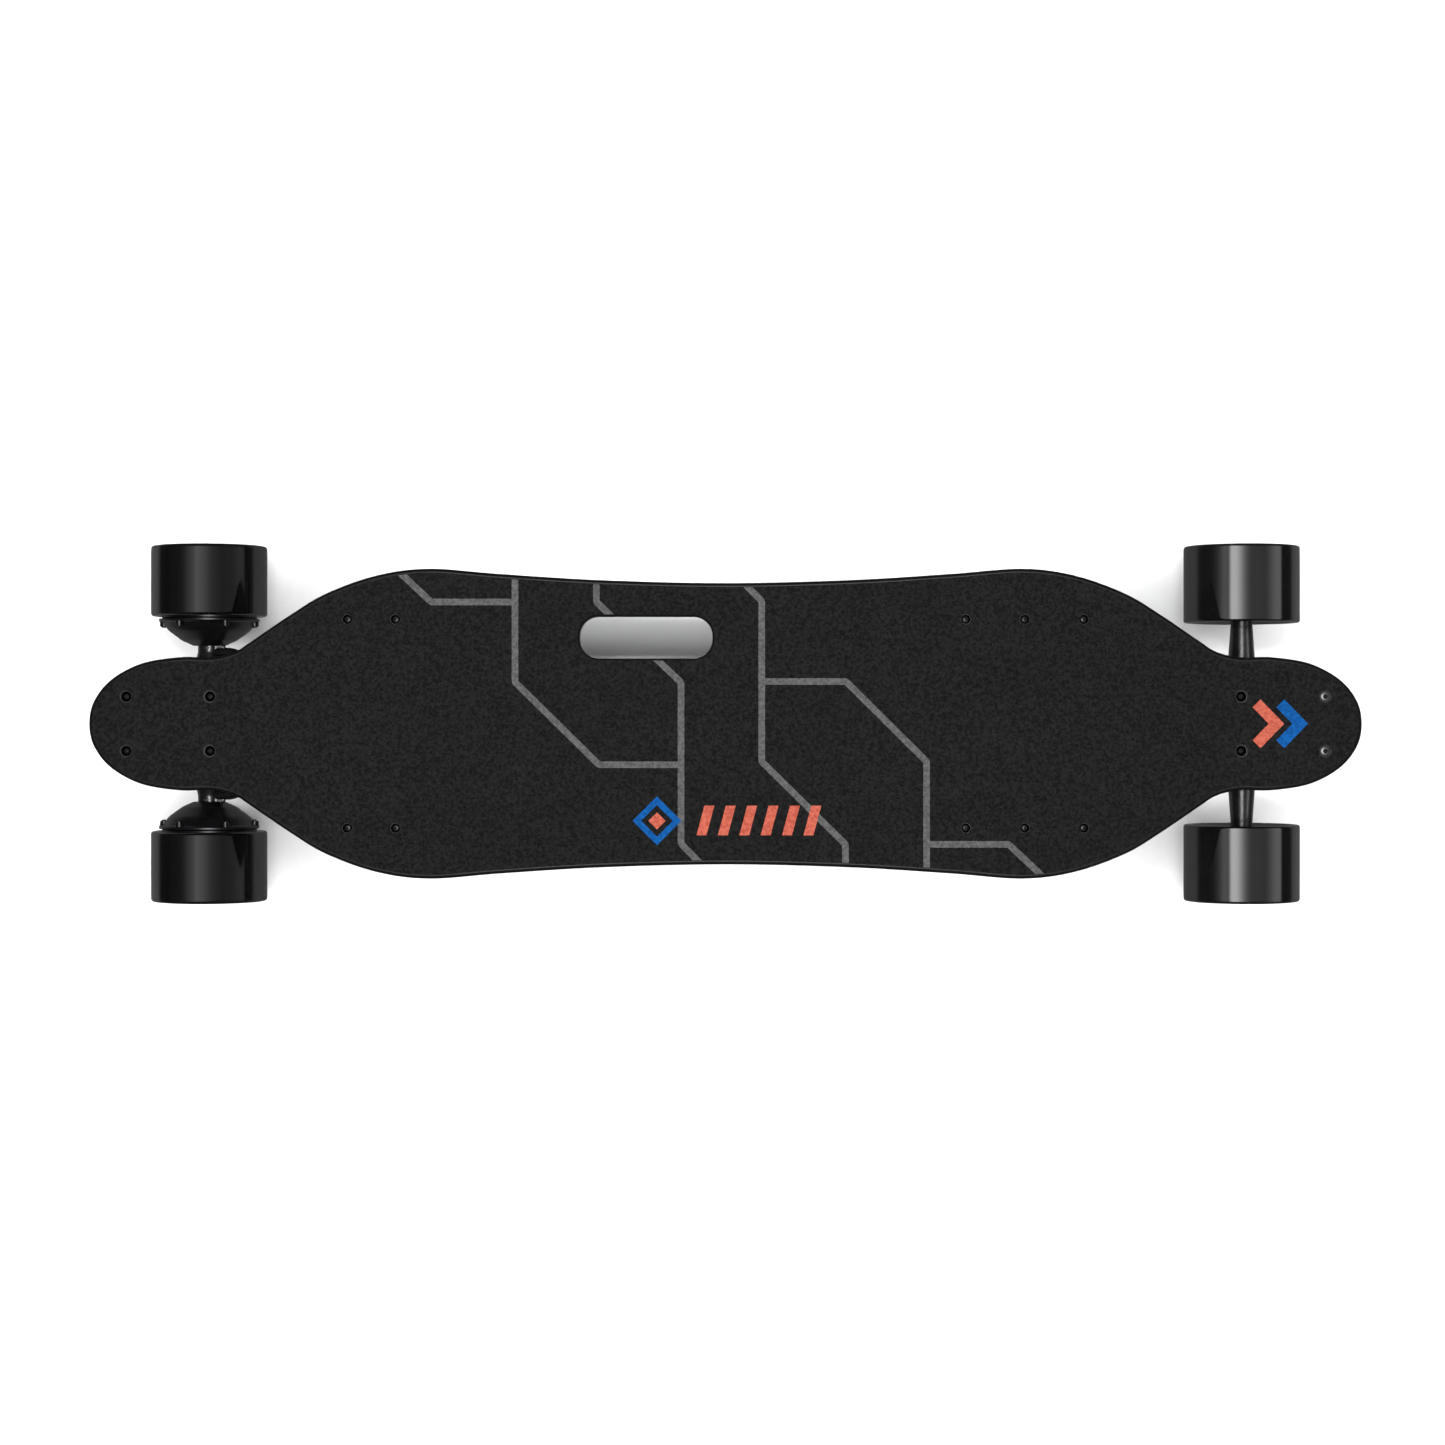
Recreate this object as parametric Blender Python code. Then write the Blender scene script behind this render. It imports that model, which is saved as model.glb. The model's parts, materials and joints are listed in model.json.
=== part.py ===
"""Electric skateboard: deck, grip tape, two reverse-kingpin trucks, two idle wheels, two hub-motor
wheels, battery and controller housings, and their cables.

Metres.  +X is forward, +Y is left, +Z is up.  The origin is on the ground under the deck's centre.
Each truck is built in its own frame: origin on top of the baseplate at the centre of the bolt
pattern, +X towards the end of the deck, +Z up.
"""
import math

import bmesh
import bpy
from mathutils import Matrix, Vector

# ---- overall -------------------------------------------------------------------------------------
GAP = 0.0003                     # left between two pieces that touch
CUT = 0.0100                     # how far a cutter reaches past the faces it cuts
SINK = 0.0010                    # how far a joined-on solid sinks into its neighbour
WHEEL_RADIUS = 0.045
AXLE_HEIGHT = WHEEL_RADIUS
BASEPLATE_TOP = 0.107            # height of the baseplates' flat top above the ground
RISER_THICKNESS = 0.0027
DECK_BOTTOM = BASEPLATE_TOP + RISER_THICKNESS + 2 * GAP
DECK_THICKNESS = 0.013
DECK_TOP = DECK_BOTTOM + DECK_THICKNESS
GRIP_THICKNESS = 0.001

# ---- deck ----------------------------------------------------------------------------------------
# half width of the deck at a distance from its centre, along one quarter of its outline
DECK_KNOTS = [
    (0.0000, 0.1067), (0.0946, 0.1090), (0.1703, 0.1136), (0.2250, 0.1176), (0.2650, 0.1124),
    (0.3028, 0.0988), (0.3297, 0.0828), (0.3596, 0.0625), (0.3724, 0.0545), (0.3900, 0.0504),
    (0.4140, 0.0505), (0.4428, 0.0458), (0.4656, 0.0337), (0.4788, 0.0174), (0.4825, 0.0000),
]
KNOT_STEPS = 2                   # outline points for each stretch between two knots
DECK_EDGE_TOP = 0.0026           # rounding of the upper edge
DECK_EDGE_BOTTOM = 0.0040        # rounding of the lower edge
GRIP_INSET = 0.0030              # bare rim between the deck's edge and the grip tape
SLOT_CENTRE = (-0.0602, 0.0653)
SLOT_SIZE = (0.1006, 0.0316)
SLOT_CORNER = 0.0145
SLOT_GRIP_MARGIN = 0.0010        # the grip tape stays this far back from the slot
CORNER_STEPS = 5                 # facets in each of the slot's corners

# ---- trucks --------------------------------------------------------------------------------------
TRUCK_X = 0.4228                 # centre of a bolt pattern from the deck's centre
BOLT_PATTERN = (0.0635, 0.0413)
BOLT_HOLE = 0.0028
BOLT_HEAD_HOLE = 0.0047
BOLT_HEAD_DEPTH = 0.0036
BASE_SIZE = (0.0800, 0.0560)
BASE_CORNER = 0.0080
BASE_SLAB = 0.0060
STEER_ANGLE = math.radians(42)   # between the steering axis and the ground
RING_CENTRE = (0.0140, -0.0280)  # in the truck's frame: outboard, up
AXLE_OFFSET = -0.0180            # the axle is this far inboard of the bolt pattern's centre
RING_HALF = 0.0040
RING_RADIUS = 0.0170
RING_HOLE = 0.0085
KINGPIN_RADIUS = 0.00475
KINGPIN_CLEAR = KINGPIN_RADIUS + 0.0004
KINGPIN_HEAD = (-0.0292, -0.0240)
KINGPIN_END = 0.0290
KINGPIN_SEAT = -0.0170           # end face of the baseplate's boss, along the kingpin
BOSS_RADIUS = 0.0145
BOSS_FOOT = (0.0140, 0.0175, 0.0060)         # half length, half width, corner
BOSS_FOOT_X = -0.0015
TOWER_FOOT = (0.0052, 0.0118, 0.0030)        # half length, half width, corner
TOWER_FOOT_X = -0.0342
BUSHING_RADIUS = 0.0130
CONE_RADIUS = 0.0100             # the roadside bushing's narrow end
CONE_HEIGHT = 0.0110
CONE_LIP = 0.0030                # the cone starts this far above its foot
BUSHING_WAIST = 0.0006           # the barrel's ends are this much narrower
ROADSIDE_WASHER_RADIUS = 0.0112
WASHER_THICKNESS = 0.0015
NUT_HEIGHT = 0.0080
KINGPIN_NUT_RADIUS = 0.0083
POCKET_CLEARANCE = 0.0008        # round the kingpin's head
TOWER_FACE = 0.0578              # from the ring's centre, along the steering axis
TOWER_DEPTH = 0.0115
TOWER_RADIUS = 0.0118
CUP_RADIUS = 0.0085
CUP_DEPTH = 0.0095
CUP_FLOOR = 0.0012
WEB_START = 0.0140               # the web leaves the ring this far from the kingpin
WEB_HALF_WIDTH = 0.0130
BEAM_SHOULDER = 0.0330           # half length of the beam's thick middle
PIVOT_RADIUS = 0.0050
PIVOT_CLEARANCE = 0.0004
NOSE_RADIUS = 0.0080             # root of the pivot nose
NOSE_ROOT = (0.0440, 0.0510)     # where the root starts and ends, from the ring's centre
NOSE_TIP_RADIUS = 0.0030
NOSE_TIP = (0.0065, 0.0078)      # start and end of the rounded tip, past the tower's face
HANGER_RADIUS = 0.0105           # of the beam at its middle
BEAM_TAPER = (0.0495, 0.0770)    # the beam tapers between these distances from the middle
BEAM_TIP = 0.0060                # least length of the straight tip
TIP_RADIUS = {"front": 0.0085, "rear": 0.00875}

# ---- front wheels: distances are measured from the board's middle plane --------------------------
FRONT_AXLE_RADIUS = 0.0040
FRONT_WHEEL_INNER = 0.0790
WHEEL_OUTER = 0.1390
CORE_RADIUS = 0.0260
FRONT_HANGER_END = 0.0952
BEARING_WIDTH = 0.0070
BEARING_RADIUS = 0.0110
FRONT_BEARINGS = (0.0955, 0.1155)
FRONT_NUT = (0.1228, 0.1290)
FRONT_AXLE_END = 0.1310
FRONT_NUT_RADIUS = 0.0075

# ---- rear hub-motor wheels -----------------------------------------------------------------------
REAR_AXLE_RADIUS = 0.0050
SLEEVE_INNER = 0.0840
CAN_RADIUS = 0.0366
MAGNET_RADIUS = 0.0322
STATOR_RADIUS = 0.0310
STATOR_ROOT = 0.0200
STATOR_TEETH = 12
STATOR_SPAN = (0.0860, 0.1200)
REAR_HANGER_END = 0.0623
HUB_BEARING_WIDTH = 0.0080
HUB_BEARING_RADIUS = 0.0130
REAR_BEARINGS = (0.0629, 0.1223)
REAR_NUT = (0.1309, 0.1367)
REAR_AXLE_END = 0.1376
REAR_NUT_RADIUS = 0.0095

# ---- housings under the deck ---------------------------------------------------------------------
HOUSING_TOP = DECK_BOTTOM - GAP
FLANGE_THICKNESS = 0.0040
FLANGE_HALF_WIDTH = 0.0880
FLANGE_CORNER = 0.0300
FLANGE_END = 0.0050              # the flange stands out this far beyond the end walls
WALL_HALF_WIDTH = 0.0730
WALL_THICKNESS = 0.0030
CAVITY_CORNER = 0.0080
SCREW_Y = 0.0791
SCREW_HOLE = 0.0023
SCREW_HEAD_HOLE = 0.0036
BATTERY_X = 0.2267
BATTERY_HALF_LENGTH = 0.1080
BATTERY_DEPTH = 0.0280
BATTERY_SCREWS = (-0.0447, 0.0, 0.0447)
ESC_X = -0.2683
ESC_HALF_LENGTH = 0.0620
ESC_DEPTH = 0.0260
ESC_SCREWS = (-0.0182, 0.0182)
CELL_RADIUS = 0.00925
CELLS_ACROSS = 7
CELL_LENGTH = 0.0655
CELL_ROWS = 3
PORT_Z = 0.0950                  # height of the charge port and the power button
PORT_X = 0.1700
PORT_BORE = 0.0040
PORT_BARREL = 0.0060
PORT_DEPTH = 0.0075              # the socket ends this far inside the wall's outer face
PORT_FLOOR = 0.0015
PORT_RIM = 0.0010                # the barrel stands out this far
PORT_TAG = (0.0080, 0.0032)      # radius of the port's plate and of its tail
PORT_TAG_TOP = 0.0011
CAP_TAG = (0.0078, 0.0012)       # radius of the cap and of its tail
CAP_SPAN = (0.0019, 0.0037)
CAP_PLUG_RADIUS = 0.0028
CAP_PLUG = (-0.0004, 0.0025)
CAP_HINGE = 0.0095               # from the port's axis to the cap's hinge
CAP_HINGE_OUT = 0.0032           # from the wall to the hinge
BUTTON_X = -0.2683
BUTTON_RADIUS = 0.0062
BUTTON_CLEARANCE = 0.0004
BUTTON_OUT = 0.0018              # the button's face stands out this far
BUTTON_ROUNDING = 0.0008
BUTTON_RIM = 0.0014              # the rim that keeps it in the wall
BUTTON_BACK = 0.0016             # the button's back, past the wall's inner face

# ---- circuit boards ------------------------------------------------------------------------------
BMS_HALF = (0.0450, 0.0270)
BMS_THICKNESS = 0.0022
BMS_DROP = 0.0025                # below the housing's rim
ESC_BOARD_HALF = (0.0480, 0.0580)
ESC_BOARD_LIFT = 0.0030          # above the housing's floor
ESC_BOARD_THICKNESS = 0.0018
ESC_PARTS = (-0.0200, 0.0100, 0.0450, 0.0090)   # x from, x to, half width, top
CAPACITOR_X = 0.0300
CAPACITOR_RADIUS = 0.0063
CAPACITOR_TOP = 0.0155
CAPACITOR_PLACES = (-0.0360, -0.0120, 0.0120, 0.0360)

# ---- cables --------------------------------------------------------------------------------------
GLAND_RADIUS = 0.0060
GLAND_LENGTH = 0.0050
GLAND_Z = 0.0970
MOTOR_GLAND_Y = 0.0240
LINK_CABLE_RADIUS = 0.0040
MOTOR_CABLE_RADIUS = 0.0032
# the left motor's cable, from the controller's gland to the rear hanger; the right one mirrors it
MOTOR_CABLE_ROUTE = [
    (-0.3309, 0.0240, 0.0970), (-0.3380, 0.0244, 0.0968), (-0.3460, 0.0272, 0.0950),
    (-0.3550, 0.0345, 0.0895), (-0.3650, 0.0440, 0.0805), (-0.3750, 0.0520, 0.0710),
    (-0.3840, 0.0556, 0.0628), (-0.3920, 0.0560, 0.0565), (-0.3972, 0.0560, 0.0525),
]
LINK_CABLE_ROUTE = [
    (-0.2058, 0.0, 0.0970), (-0.1960, 0.0, 0.0972), (-0.1780, 0.0, 0.0990), (-0.1480, 0.0, 0.1035),
    (-0.1150, 0.0, 0.1055), (-0.0430, 0.0, 0.1058), (0.0250, 0.0, 0.1055), (0.0600, 0.0, 0.1035),
    (0.0900, 0.0, 0.0990), (0.1080, 0.0, 0.0972), (0.1182, 0.0, 0.0970),
]
CLIP_X = -0.0430
CLIP_Z = 0.1058                  # height of the cable's centre under the clip
CLIP_SHEET = 0.0015
CLIP_FOOT = 0.0110               # half width of the clip over its feet
CLIP_HALF_LENGTH = 0.0040

# ---- facet counts --------------------------------------------------------------------------------
TYRE_SIDES = 32
CAN_SIDES = 24
SIDES = 18
SMALL_SIDES = 12
HOLE_SIDES = 8
HEX = 6
RING_SIDES = 24
BUSHING_SIDES = 16
BUTTON_SIDES = 20

UP = Vector((0, 0, 1))

for old in list(bpy.data.objects):
    bpy.data.objects.remove(old, do_unlink=True)


# ==== materials ===================================================================================
def material(name, colour, roughness, metallic=0.0):
    """A Principled material, made once and then found again by its name."""
    found = bpy.data.materials.get(name)
    if found:
        return found
    made = bpy.data.materials.new(name)
    made.use_nodes = True
    shader = made.node_tree.nodes["Principled BSDF"]
    shader.inputs["Base Color"].default_value = (*colour, 1.0)
    shader.inputs["Roughness"].default_value = roughness
    shader.inputs["Metallic"].default_value = metallic
    made.diffuse_color = (*colour, 1.0)
    return made


DECK_BLACK = material("deck_lacquer", (0.012, 0.012, 0.013), 0.35)
GRIP_BLACK = material("grip_grit", (0.018, 0.018, 0.018), 0.95)
TRUCK_BLACK = material("truck_paint", (0.020, 0.020, 0.022), 0.40, 0.3)
STEEL = material("steel", (0.55, 0.55, 0.56), 0.30, 1.0)
DARK_STEEL = material("dark_steel", (0.05, 0.05, 0.055), 0.35, 1.0)
TYRE_BLACK = material("urethane", (0.010, 0.010, 0.011), 0.25)
CORE_BLACK = material("core_plastic", (0.020, 0.020, 0.022), 0.45)
CAN_BLACK = material("motor_anodised", (0.018, 0.018, 0.020), 0.35, 0.8)
COPPER = material("copper_winding", (0.45, 0.20, 0.09), 0.35, 1.0)
BUSHING_GREY = material("bushing_urethane", (0.030, 0.030, 0.034), 0.45)
RUBBER = material("rubber", (0.015, 0.015, 0.015), 0.70)
HOUSING_BLACK = material("housing_plastic", (0.016, 0.016, 0.017), 0.55)
CELL_BLUE = material("cell_wrap", (0.030, 0.120, 0.350), 0.50)
BOARD_GREEN = material("circuit_board", (0.020, 0.150, 0.060), 0.50)


# ==== building blocks =============================================================================
def finish(name, bm, finish_material, parent=None, smooth_angle=35):
    """Turns a bmesh into one object in the scene."""
    bmesh.ops.remove_doubles(bm, verts=bm.verts, dist=1e-6)
    bmesh.ops.recalc_face_normals(bm, faces=bm.faces)
    mesh = bpy.data.meshes.new(name)
    bm.to_mesh(mesh)
    bm.free()
    mesh.materials.append(finish_material)
    mesh.shade_smooth()
    mesh.set_sharp_from_angle(angle=math.radians(smooth_angle))
    made = bpy.data.objects.new(name, mesh)
    bpy.context.collection.objects.link(made)
    if parent:
        made.parent = parent
        made.matrix_parent_inverse = parent.matrix_world.inverted()
    return made


def joint_empty(name, matrix, parent=None):
    """An empty on a joint's axis, for the pieces that move with it."""
    made = bpy.data.objects.new(name, None)
    made.empty_display_size = 0.02
    bpy.context.collection.objects.link(made)
    if parent:
        made.parent = parent
        made.matrix_parent_inverse = parent.matrix_world.inverted()
    made.matrix_world = matrix
    bpy.context.view_layer.update()
    return made


def boolean(target, bm, operation="DIFFERENCE"):
    """Cuts a bmesh out of an object, or joins it on, with a live Boolean modifier."""
    kind = "cutter" if operation == "DIFFERENCE" else "addition"
    tool = finish(f"{target.name}.{kind}.{len(target.modifiers)}", bm, target.data.materials[0])
    tool.hide_render = True
    tool.display_type = "WIRE"
    tool.parent = target
    modifier = target.modifiers.new(f"{kind} {len(target.modifiers)}", "BOOLEAN")
    modifier.operation = operation
    modifier.solver = "EXACT"
    modifier.object = tool


def axis_frame(origin, z_axis, x_axis=None):
    """A frame whose Z runs along z_axis from origin."""
    z = Vector(z_axis).normalized()
    x = Vector(x_axis) if x_axis else Vector((0, 0, 1)) if abs(z.z) < 0.9 else Vector((1, 0, 0))
    x = (x - z * x.dot(z)).normalized()
    y = z.cross(x)
    rotation = Matrix((x, y, z)).transposed().to_4x4()
    return Matrix.Translation(Vector(origin)) @ rotation


def turned(profile, frame, sides, bm=None, closed=True):
    """Spins a profile of (radius, height) about the frame's Z; an open one ends on the axis."""
    bm = bm or bmesh.new()
    verts = [bm.verts.new(frame @ Vector((radius, 0, height))) for radius, height in profile]
    edges = [bm.edges.new(pair) for pair in zip(verts, verts[1:])]
    if closed:
        edges.append(bm.edges.new((verts[-1], verts[0])))
    bmesh.ops.spin(
        bm, geom=verts + edges, cent=frame.to_translation(), axis=frame.to_3x3() @ UP,
        angle=2 * math.pi, steps=sides, use_merge=True, use_normal_flip=False)
    bmesh.ops.remove_doubles(bm, verts=bm.verts, dist=1e-6)
    return bm


def rod(radius, low, high, frame, sides, bm=None):
    """A plain cylinder along the frame's Z."""
    return turned([(0, low), (radius, low), (radius, high), (0, high)], frame, sides, bm, False)


def tube(inner, outer, low, high, frame, sides, bm=None):
    """A plain ring along the frame's Z."""
    return turned([(inner, low), (outer, low), (outer, high), (inner, high)], frame, sides, bm)


def prism(outline, low, high, frame=None, bm=None):
    """An outline in the frame's XY, extruded along its Z."""
    bm = bm or bmesh.new()
    frame = frame or Matrix.Identity(4)
    base = bm.faces.new([bm.verts.new(frame @ Vector((x, y, low))) for x, y in outline])
    pushed = bmesh.ops.extrude_face_region(bm, geom=[base])["geom"]
    moved = [item for item in pushed if isinstance(item, bmesh.types.BMVert)]
    bmesh.ops.translate(bm, verts=moved, vec=frame.to_3x3() @ Vector((0, 0, high - low)))
    return bm


def block(low, high, frame=None, bm=None):
    """A box between two corners."""
    outline = [(low[0], low[1]), (high[0], low[1]), (high[0], high[1]), (low[0], high[1])]
    return prism(outline, low[2], high[2], frame, bm)


def loft(rings):
    """A closed body through rings of equal point counts, capped at both ends."""
    bm = bmesh.new()
    loops = [[bm.verts.new(point) for point in ring] for ring in rings]
    for near, far in zip(loops, loops[1:]):
        for index in range(len(near)):
            after = (index + 1) % len(near)
            bm.faces.new((near[index], near[after], far[after], far[index]))
    bm.faces.new(loops[0])
    bm.faces.new(loops[-1])
    return bm


def hull(points):
    """The convex body around a set of points."""
    bm = bmesh.new()
    for point in points:
        bm.verts.new(point)
    result = bmesh.ops.convex_hull(bm, input=bm.verts)
    spare = [item for item in result["geom_interior"] if isinstance(item, bmesh.types.BMVert)]
    bmesh.ops.delete(bm, geom=spare, context="VERTS")
    bmesh.ops.dissolve_limit(bm, angle_limit=0.001, verts=bm.verts, edges=bm.edges)
    return bm


def circle(radius, count, centre=(0.0, 0.0)):
    """Points of a circle in a plane."""
    steps = [2 * math.pi * index / count for index in range(count)]
    return [(centre[0] + radius * math.cos(a), centre[1] + radius * math.sin(a)) for a in steps]


def rounded_rectangle(half_x, half_y, radius, steps=4, centre=(0.0, 0.0)):
    """Points of a rectangle with round corners, counterclockwise from the +X side."""
    points = []
    for quarter, (sign_x, sign_y) in enumerate(((1, 1), (-1, 1), (-1, -1), (1, -1))):
        for step in range(steps + 1):
            angle = math.radians(90 * (quarter + step / steps))
            points.append((
                centre[0] + sign_x * (half_x - radius) + radius * math.cos(angle),
                centre[1] + sign_y * (half_y - radius) + radius * math.sin(angle)))
    return points


def smooth_points(knots, steps):
    """Points on a Catmull-Rom curve through the knots."""
    knots = [Vector(knot) for knot in knots]
    ends = [2 * knots[0] - knots[1]] + knots + [2 * knots[-1] - knots[-2]]
    points = []
    for a, b, c, d in zip(ends, ends[1:], ends[2:], ends[3:]):
        for step in range(steps):
            t = step / steps
            points.append(0.5 * (2 * b + (c - a) * t + (2 * a - 5 * b + 4 * c - d) * t * t
                                 + (3 * b - a - 3 * c + d) * t ** 3))
    return points + [knots[-1]]


# ==== deck and grip tape ==========================================================================
def deck_outline():
    """The deck's outline, counterclockwise, from its four mirrored quarters."""
    knots = DECK_KNOTS
    mirrored = [(-knots[1][0], knots[1][1])] + knots + [(knots[-2][0], -knots[-2][1])]
    quarter = smooth_points(mirrored, KNOT_STEPS)[KNOT_STEPS:-KNOT_STEPS]
    quarter = [(point.x, point.y) for point in quarter]
    front_left = quarter[::-1]
    back_left = [(-x, y) for x, y in quarter[1:]]
    left = front_left + back_left
    right = [(-x, -y) for x, y in left[1:-1]]
    return left + right


def inset(outline, amount):
    """The outline moved inwards by an amount, along its own normals."""
    moved = []
    for index, (x, y) in enumerate(outline):
        before = Vector(outline[index - 1])
        after = Vector(outline[(index + 1) % len(outline)])
        along = (after - before).normalized()
        moved.append((x - along.y * amount, y + along.x * amount))
    return moved


def mirrored_points(half_x, half_y, centre_x=0.0):
    """The four corners of a bolt pattern."""
    return [(centre_x + sx * half_x, sy * half_y) for sx in (1, -1) for sy in (1, -1)]


def truck_bolts():
    """Places of the eight truck bolts."""
    half = (BOLT_PATTERN[0] / 2, BOLT_PATTERN[1] / 2)
    return mirrored_points(*half, TRUCK_X) + mirrored_points(*half, -TRUCK_X)


def housing_screws():
    """Places of the ten screws that hold the housings."""
    along = [BATTERY_X + x for x in BATTERY_SCREWS] + [ESC_X + x for x in ESC_SCREWS]
    return [(x, side * SCREW_Y) for x in along for side in (1, -1)]


def at_height(outline, height):
    """An outline's points at a height."""
    return [Vector((x, y, height)) for x, y in outline]


def build_deck():
    outline = deck_outline()
    low, high = DECK_EDGE_BOTTOM, DECK_EDGE_TOP
    rings = [
        at_height(inset(outline, low), DECK_BOTTOM),
        at_height(outline, DECK_BOTTOM + low),
        at_height(outline, DECK_TOP - high),
        at_height(inset(outline, high), DECK_TOP),
    ]
    deck = finish("deck", loft(rings), DECK_BLACK)
    half_x, half_y = SLOT_SIZE[0] / 2, SLOT_SIZE[1] / 2
    slot = rounded_rectangle(half_x, half_y, SLOT_CORNER, CORNER_STEPS, SLOT_CENTRE)
    boolean(deck, prism(slot, DECK_BOTTOM - CUT, DECK_TOP + CUT))
    holes = bmesh.new()
    over, under, seat = DECK_TOP + CUT, DECK_BOTTOM - CUT, DECK_TOP - BOLT_HEAD_DEPTH
    profile = [(0, over), (BOLT_HEAD_HOLE, over), (BOLT_HEAD_HOLE, seat), (BOLT_HOLE, seat),
               (BOLT_HOLE, under), (0, under)]
    for x, y in truck_bolts():
        turned(profile, Matrix.Translation((x, y, 0)), HOLE_SIDES, holes, False)
    for centre in housing_screws():
        prism(circle(SCREW_HEAD_HOLE, HOLE_SIDES, centre), under, over, None, holes)
    boolean(deck, holes)


def build_grip_tape():
    low = DECK_TOP + GAP
    tape = finish("grip_tape", prism(inset(deck_outline(), GRIP_INSET), low, low + GRIP_THICKNESS),
                  GRIP_BLACK)
    half_x = SLOT_SIZE[0] / 2 + SLOT_GRIP_MARGIN
    half_y = SLOT_SIZE[1] / 2 + SLOT_GRIP_MARGIN
    corner = SLOT_CORNER + SLOT_GRIP_MARGIN
    slot = rounded_rectangle(half_x, half_y, corner, CORNER_STEPS, SLOT_CENTRE)
    holes = prism(slot, low - CUT, low + CUT)
    for places, radius in ((truck_bolts(), BOLT_HEAD_HOLE), (housing_screws(), SCREW_HEAD_HOLE)):
        for centre in places:
            prism(circle(radius, HOLE_SIDES, centre), low - CUT, low + CUT, None, holes)
    boolean(tape, holes)


# ==== trucks ======================================================================================
class Truck:
    """One truck: its frames, its steering empty and its pieces' names."""

    def __init__(self, end, turn, axle_radius, axle_end, hanger_end):
        self.end = end
        self.axle_radius = axle_radius
        self.axle_end = axle_end
        self.hanger_end = hanger_end
        place = Matrix.Translation((TRUCK_X if turn == 0 else -TRUCK_X, 0, BASEPLATE_TOP))
        self.frame = place @ Matrix.Rotation(turn, 4, "Z")
        self.up_axis = self.direction(math.cos(STEER_ANGLE), math.sin(STEER_ANGLE))
        self.pin_axis = self.direction(math.sin(STEER_ANGLE), -math.cos(STEER_ANGLE))
        self.ring = self.frame @ Vector((RING_CENTRE[0], 0, RING_CENTRE[1]))
        self.pin_frame = axis_frame(self.ring, self.pin_axis, (0, 1, 0))
        self.steer_frame = axis_frame(self.ring, -self.up_axis, (0, 1, 0))
        axle_centre = self.frame @ Vector((AXLE_OFFSET, 0, 0))
        axle_centre.z = AXLE_HEIGHT
        self.axle_frame = axis_frame(axle_centre, (0, 1, 0))
        self.steer = joint_empty(f"{end}_steer_axis", self.steer_frame)

    def direction(self, outboard, up):
        """A direction in the truck's vertical plane."""
        return self.frame.to_3x3() @ Vector((outboard, 0, up))

    def name(self, piece):
        return f"{self.end}_{piece}"


def build_riser(truck):
    low = BASEPLATE_TOP + GAP
    outline = rounded_rectangle(BASE_SIZE[0] / 2, BASE_SIZE[1] / 2, BASE_CORNER, 3)
    flat = Matrix.Translation((truck.frame.to_translation().x, 0, 0))
    riser = finish(truck.name("riser_pad"), prism(outline, low, low + RISER_THICKNESS, flat), RUBBER)
    holes = bmesh.new()
    for centre in mirrored_points(BOLT_PATTERN[0] / 2, BOLT_PATTERN[1] / 2):
        prism(circle(BOLT_HOLE, HOLE_SIDES, centre), low - CUT, low + CUT, flat, holes)
    boolean(riser, holes)


def build_baseplate(truck):
    outline = rounded_rectangle(BASE_SIZE[0] / 2, BASE_SIZE[1] / 2, BASE_CORNER, 3)
    plate = finish(truck.name("baseplate"), prism(outline, -BASE_SLAB, 0, truck.frame), TRUCK_BLACK)
    boolean(plate, tower(truck), "UNION")
    cup_housing = turned([
        (0, TOWER_FACE), (TOWER_RADIUS, TOWER_FACE), (TOWER_RADIUS, TOWER_FACE + 0.6 * TOWER_DEPTH),
        (0.7 * TOWER_RADIUS, TOWER_FACE + TOWER_DEPTH), (0, TOWER_FACE + TOWER_DEPTH)],
        truck.steer_frame, SIDES, None, False)
    boolean(plate, cup_housing, "UNION")
    boolean(plate, boss(truck), "UNION")
    cuts = rod(CUP_RADIUS + GAP, TOWER_FACE - 2 * CUT, TOWER_FACE + CUP_DEPTH + 2 * GAP,
               truck.steer_frame, SIDES)
    boolean(plate, cuts)
    boolean(plate, rod(KINGPIN_CLEAR, KINGPIN_HEAD[0] - CUT, KINGPIN_SEAT + CUT, truck.pin_frame,
                       SMALL_SIDES))
    pocket = KINGPIN_NUT_RADIUS + POCKET_CLEARANCE
    boolean(plate, rod(pocket, KINGPIN_HEAD[0] - 2 * CUT, KINGPIN_HEAD[1] + GAP, truck.pin_frame,
                       HEX))
    holes = bmesh.new()
    for centre in mirrored_points(BOLT_PATTERN[0] / 2, BOLT_PATTERN[1] / 2):
        prism(circle(BOLT_HOLE, HOLE_SIDES, centre), -2 * CUT, CUT, truck.frame, holes)
    boolean(plate, holes)


def tower(truck):
    """The baseplate's inboard tower, from the slab down to the upper half of the cup's housing."""
    foot = rounded_rectangle(*TOWER_FOOT, 2, (TOWER_FOOT_X, 0))
    points = [truck.frame @ Vector((x, y, -0.5 * BASE_SLAB)) for x, y in foot]
    upward = truck.steer_frame.to_3x3().inverted() @ -truck.pin_axis
    for depth, size in ((TOWER_FACE + 0.0020, 0.98), (TOWER_FACE + TOWER_DEPTH - GAP, 0.69)):
        for x, y in circle(TOWER_RADIUS * size, SIDES):
            if Vector((x, y, 0)).dot(upward) > 0.3 * TOWER_RADIUS:
                points.append(truck.steer_frame @ Vector((x, y, depth)))
    return hull(points)


def boss(truck):
    """The baseplate's boss around the kingpin, from inside the slab to the bushing's seat."""
    rim = circle(BOSS_RADIUS, BUSHING_SIDES)
    points = [truck.pin_frame @ Vector((x, y, KINGPIN_SEAT)) for x, y in rim]
    foot = rounded_rectangle(*BOSS_FOOT, 2, (BOSS_FOOT_X, 0))
    points += [truck.frame @ Vector((x, y, -0.5 * BASE_SLAB)) for x, y in foot]
    return hull(points)


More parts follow.
